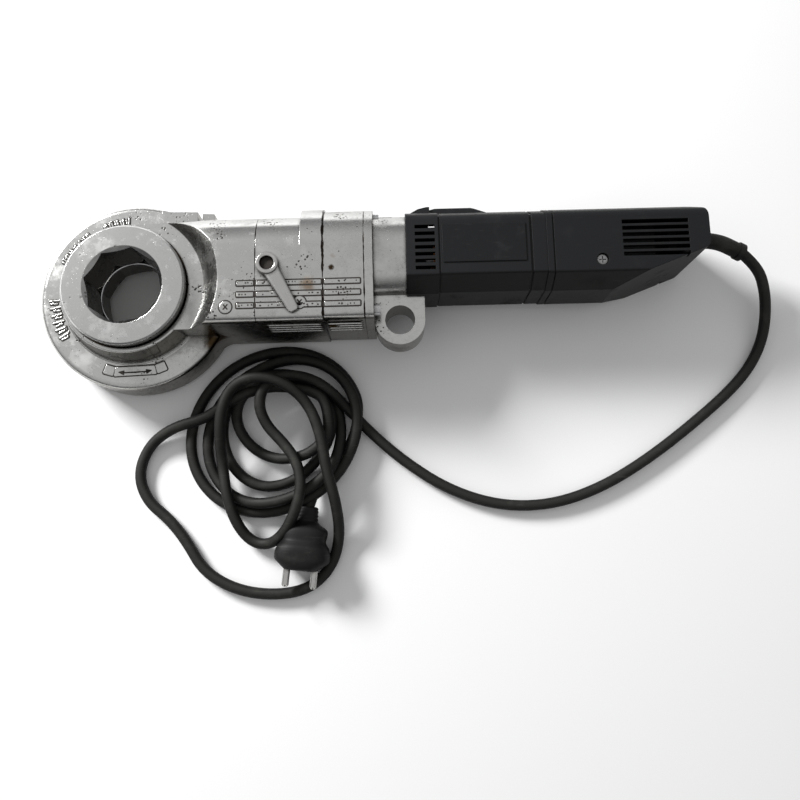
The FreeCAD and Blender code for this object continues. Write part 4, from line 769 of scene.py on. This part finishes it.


# %% [markdown]
# Each metal is one row: its top colour in painted light and its flank colour in painted shade, then only
# what differs from worn cast metal. Stains have a place, a reach and a colour; joints have a place along
# the tool and half a width.

# %% The metals
OIL_BROWN = (0.055, 0.036, 0.018)
RUST = (0.40, 0.32, 0.25)
CAST_STAINS = (
    ((0.058, -0.034, 0.033), 0.016, OIL_BROWN),
    ((0.141, 0.012, 0.066), 0.0035, RUST),
    ((0.140, 0.0045, 0.068), 0.003, OIL_BROWN),
    ((0.124, -0.006, 0.068), 0.0075, RUST),
    ((0.139, -0.030, 0.050), 0.006, OIL_BROWN),
)
CAST_JOINTS = ((0.0900, 0.00022), (0.1340, 0.00055), (0.1610, 0.00030), (0.1670, 0.00018))
CLEAN = {"pit_share": 0.0, "edge": 0.0}
METALS = {
    "cast_aluminium": dict(lit_top_colour=(0.68, 0.68, 0.665), shaded_flank_colour=(0.17, 0.163, 0.147), rough=(0.2, 0.42),
                           grime_share=0.7, stains=CAST_STAINS, joints=CAST_JOINTS),
    "hub_steel": dict(lit_top_colour=(0.64, 0.64, 0.63), shaded_flank_colour=(0.09, 0.086, 0.078), rough=(0.22, 0.4),
                      pit_scale=300.0, pit_share=0.7, grime_share=0.7),
    "lever_metal": dict(lit_top_colour=(0.62, 0.615, 0.60), shaded_flank_colour=(0.12, 0.117, 0.11), rough=(0.22, 0.4),
                        pit_share=0.5, edge=0.0013),
    "gear_steel": dict(lit_top_colour=(0.42, 0.42, 0.43), shaded_flank_colour=(0.2, 0.2, 0.2), **CLEAN),
    "screw_steel": dict(lit_top_colour=(0.75, 0.75, 0.76), shaded_flank_colour=(0.35, 0.35, 0.35), rough=(0.2, 0.35),
                        corner_shade_share=0.6, **CLEAN),
    # Painted shade: the screws are darker to stand for the shade of their recesses.
    "screw_in_painted_shade": dict(lit_top_colour=(0.42, 0.42, 0.42), shaded_flank_colour=(0.05, 0.05, 0.05), rough=(0.25, 0.4),
                       pit_share=0.5, edge=0.0),
    "spring_steel": dict(lit_top_colour=(0.62, 0.62, 0.63), shaded_flank_colour=(0.3, 0.3, 0.3), rough=(0.2, 0.35), **CLEAN),
    "bearing_steel": dict(lit_top_colour=(0.68, 0.68, 0.69), shaded_flank_colour=(0.3, 0.3, 0.3), rough=(0.2, 0.3), **CLEAN),
    "lamination_steel": dict(lit_top_colour=(0.3, 0.3, 0.31), shaded_flank_colour=(0.2, 0.2, 0.2), **CLEAN),
    "copper_winding": dict(lit_top_colour=(0.30, 0.12, 0.06), shaded_flank_colour=(0.16, 0.07, 0.04), **CLEAN),
    "bronze": dict(lit_top_colour=(0.6, 0.4, 0.2), shaded_flank_colour=(0.4, 0.26, 0.12), **CLEAN),
    "brass": dict(lit_top_colour=(0.75, 0.58, 0.26), shaded_flank_colour=(0.5, 0.38, 0.16), **CLEAN),
    "pin_nickel": dict(lit_top_colour=(0.66, 0.65, 0.63), shaded_flank_colour=(0.2, 0.19, 0.18), rough=(0.2, 0.35),
                       pit_share=0.4, edge=0.0),
}
finishes = {name: metal(name, **look) for name, look in METALS.items()}
print("metals", sorted(finishes))

# %% [markdown]
# ## Plastic and rubber finishes
# The grip is matt black plastic with a fine mould grain; the cord, sleeve and plug are rubber that has
# picked up dust and scuffs. Their tops are a little lighter than their sides: painted light on the tops and
# painted shade on the sides. Each row gives the shaded side's, the lit top's and the dust's colours, then
# the roughness and what dust and scuffs cover.

# %% Plastics and rubber
PLASTIC_GRAIN_HEIGHT = 0.00003
PLASTIC_SPECULAR = 0.2


def plastic(name, shaded_side_colour, lit_plastic_top, dusty, rough, dust_share, scuff_share, dust_scale=45.0, edge=0.0005):
    """Colour = painted shade on sides to painted light on tops by Up, then dust and scuffs laid over it."""
    material, tree, place, shader = new_material(name)
    out = masked_group(tree, handled_and_shade, place, Dust_Scale=dust_scale)
    # Painted light and shade: the shaded side colour on walls, the lit top colour on faces that look up.
    mixed = blend(tree, out["Up"], (*shaded_side_colour, 1), (*lit_plastic_top, 1))
    mixed = blend(tree, calculate(tree, "MULTIPLY", out["Dust"], dust_share), mixed, (*dusty, 1))
    mixed = blend(tree, calculate(tree, "MULTIPLY", out["Scuffs"], scuff_share), mixed, (*dusty, 1))
    tree.links.new(mixed, shader.inputs["Base Color"])
    roughness = step_between(tree, out["Dust"], 0.0, 1.0, rough, rough + 0.2)
    tree.links.new(roughness, shader.inputs["Roughness"])
    shader.inputs["Specular IOR Level"].default_value = PLASTIC_SPECULAR
    soften(tree, shader, out["Grain"], PLASTIC_GRAIN_HEIGHT, edge)
    return material


PLASTICS = {
    "black_plastic": ((0.002, 0.0019, 0.0017), (0.0105, 0.011, 0.0122), (0.045, 0.045, 0.045), 0.5, 0.12,
                      0.15),
    "plug_plastic": ((0.004, 0.004, 0.004), (0.008, 0.008, 0.008), (0.05, 0.048, 0.045), 0.55, 0.35, 0.3),
    "cord_rubber": ((0.007, 0.007, 0.0065), (0.020, 0.020, 0.018), (0.07, 0.068, 0.06), 0.6, 0.4, 0.35,
                    60.0, 0.0),
    # Dark packed dirt for the arrow, the bar strokes, the sign hearts and the lever's hub end; the same
    # colour paints the shade rings at the foot of the raised marks.
    "packed_dirt_and_painted_shade": ((0.02, 0.017, 0.014), (0.028, 0.024, 0.02), (0.09, 0.08, 0.07), 0.6, 0.3, 0.0,
                    300.0, 0.0),
    "label_film": ((0.008, 0.008, 0.0085), (0.011, 0.0115, 0.0125), (0.16, 0.16, 0.16), 0.28, 0.05, 0.12,
                   90.0, 0.0),
    "carbon": ((0.01, 0.01, 0.01), (0.015, 0.015, 0.015), (0.03, 0.03, 0.03), 0.6, 0.2, 0.0, 45.0, 0.0),
    "capacitor_case": ((0.45, 0.36, 0.12), (0.5, 0.4, 0.15), (0.3, 0.25, 0.15), 0.4, 0.2, 0.0, 45.0, 0.0),
}
finishes.update({name: plastic(name, *look) for name, look in PLASTICS.items()})
print("plastics", sorted(PLASTICS))

# %% [markdown]
# ## Finishes on nodes and pieces
# Each node takes the finish named by its material slot in the record; its shape stays as packed. Each new
# piece rides on a body and takes the finish of the slot it is given, unless a paint is named. The plug and
# the cord take the place of their plain solids.

# %% Give each node its finish
for part in frame["record"]["subparts"]:
    mesh = frame["nodes"][part["node"]].data
    mesh.materials.clear()
    mesh.materials.append(finishes[part["material_slot"]])
# The handle screws get the darker steel as painted shade of their recesses.
frame["nodes"]["handle_screws"].data.materials[0] = finishes["screw_in_painted_shade"]


# %% Give each new piece its finish
def finish_piece(piece, slot_name, body="frame", paint=None):
    piece.data.materials.append(finishes[paint or slot_name])
    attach(piece, body)


for mark in (flange_strokes, sign_fields, flange_line, case_bars, round_sign_faces, grip_ribs):
    finish_piece(mark, "cast_aluminium")
# The rings round the marks are painted shade; the arrow, the bar strokes and the sign hearts are dark dirt.
for mark in (shade_ring_round_strokes, shade_ring_round_fields, turn_arrow, shade_ring_round_bars, bar_strokes,
             shade_ring_round_signs, round_sign_hearts):
    finish_piece(mark, "cast_aluminium", paint="packed_dirt_and_painted_shade")
finish_piece(lever_hub_end, "gear_steel", "direction_lever", paint="packed_dirt_and_painted_shade")
finish_piece(rating_label, "black_plastic", paint="label_film")
finish_piece(moulded_plug, "plug_plastic")
finish_piece(mains_cord, "cord_rubber")
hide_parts("plug_body")
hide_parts("cord_lead", "cord_loop", "cord_coil")

# %% [markdown]
# ## Floor and light
# The tool lies on a white sheet under one large soft lamp. The sheet is one square; the lamp stands at the
# upper left, so that the soft shadows fall to the lower right. The sky is bright above and darker towards
# the rim, most of all on the near side, which gives metal flanks something dark to mirror.

# %% Floor
FLOOR_Z = -0.0003
floor_mesh = bpy.data.meshes.new("floor")
floor_corners = [(-3, -3, FLOOR_Z), (3.5, -3, FLOOR_Z), (3.5, 3, FLOOR_Z), (-3, 3, FLOOR_Z)]
floor_mesh.from_pydata(floor_corners, [], [(0, 1, 2, 3)])
floor = bpy.data.objects.new("floor", floor_mesh)
bpy.context.scene.collection.objects.link(floor)
paper, _, _, paper_shader = new_material("white_paper")
paper_shader.inputs["Base Color"].default_value = (0.93, 0.93, 0.93, 1)
paper_shader.inputs["Roughness"].default_value = 1.0
paper_shader.inputs["Specular IOR Level"].default_value = 0.0
floor_mesh.materials.append(paper)

# %% Light
world = bpy.data.worlds.new("soft_sky")
bpy.context.scene.world = world
world.use_nodes = True
sky = world.node_tree
NEAR_RIM, FAR_RIM, ZENITH = (0.10, 0.10, 0.105, 1), (0.44, 0.44, 0.45, 1), (1, 1, 1, 1)
SEEN_DIRECTLY = (1.8, 1.8, 1.8, 1)
direction = node(sky, "ShaderNodeSeparateXYZ", {0: node(sky, "ShaderNodeTexCoord").outputs["Generated"]})
rim_colour = blend(sky, step_between(sky, direction.outputs["Y"], -0.7, 0.2), NEAR_RIM, FAR_RIM)
sky_colour = blend(sky, step_between(sky, direction.outputs["Z"], 0.05, 0.75), rim_colour, ZENITH)
camera_ray = node(sky, "ShaderNodeLightPath").outputs["Is Camera Ray"]
sky_colour = blend(sky, camera_ray, sky_colour, SEEN_DIRECTLY)
sky.links.new(sky_colour, sky.nodes["Background"].inputs["Color"])
sky.nodes["Background"].inputs["Strength"].default_value = 0.50

lamp_data = bpy.data.lights.new("large_soft_lamp", "AREA")
lamp_data.energy = 46.0
lamp_data.shape = "RECTANGLE"
lamp_data.size = 0.55
lamp_data.size_y = 0.4
lamp = bpy.data.objects.new("large_soft_lamp", lamp_data)
lamp.location = (-0.96, 0.90, 0.80)
LAMP_AIMS_AT = Vector((0.18, -0.05, 0.0))
aim = LAMP_AIMS_AT - lamp.location
lamp.rotation_euler = aim.to_track_quat("-Z", "Y").to_euler()
bpy.context.scene.collection.objects.link(lamp)
bpy.context.scene.view_settings.view_transform = "Standard"
print("lamp at", tuple(round(value, 2) for value in lamp.location))
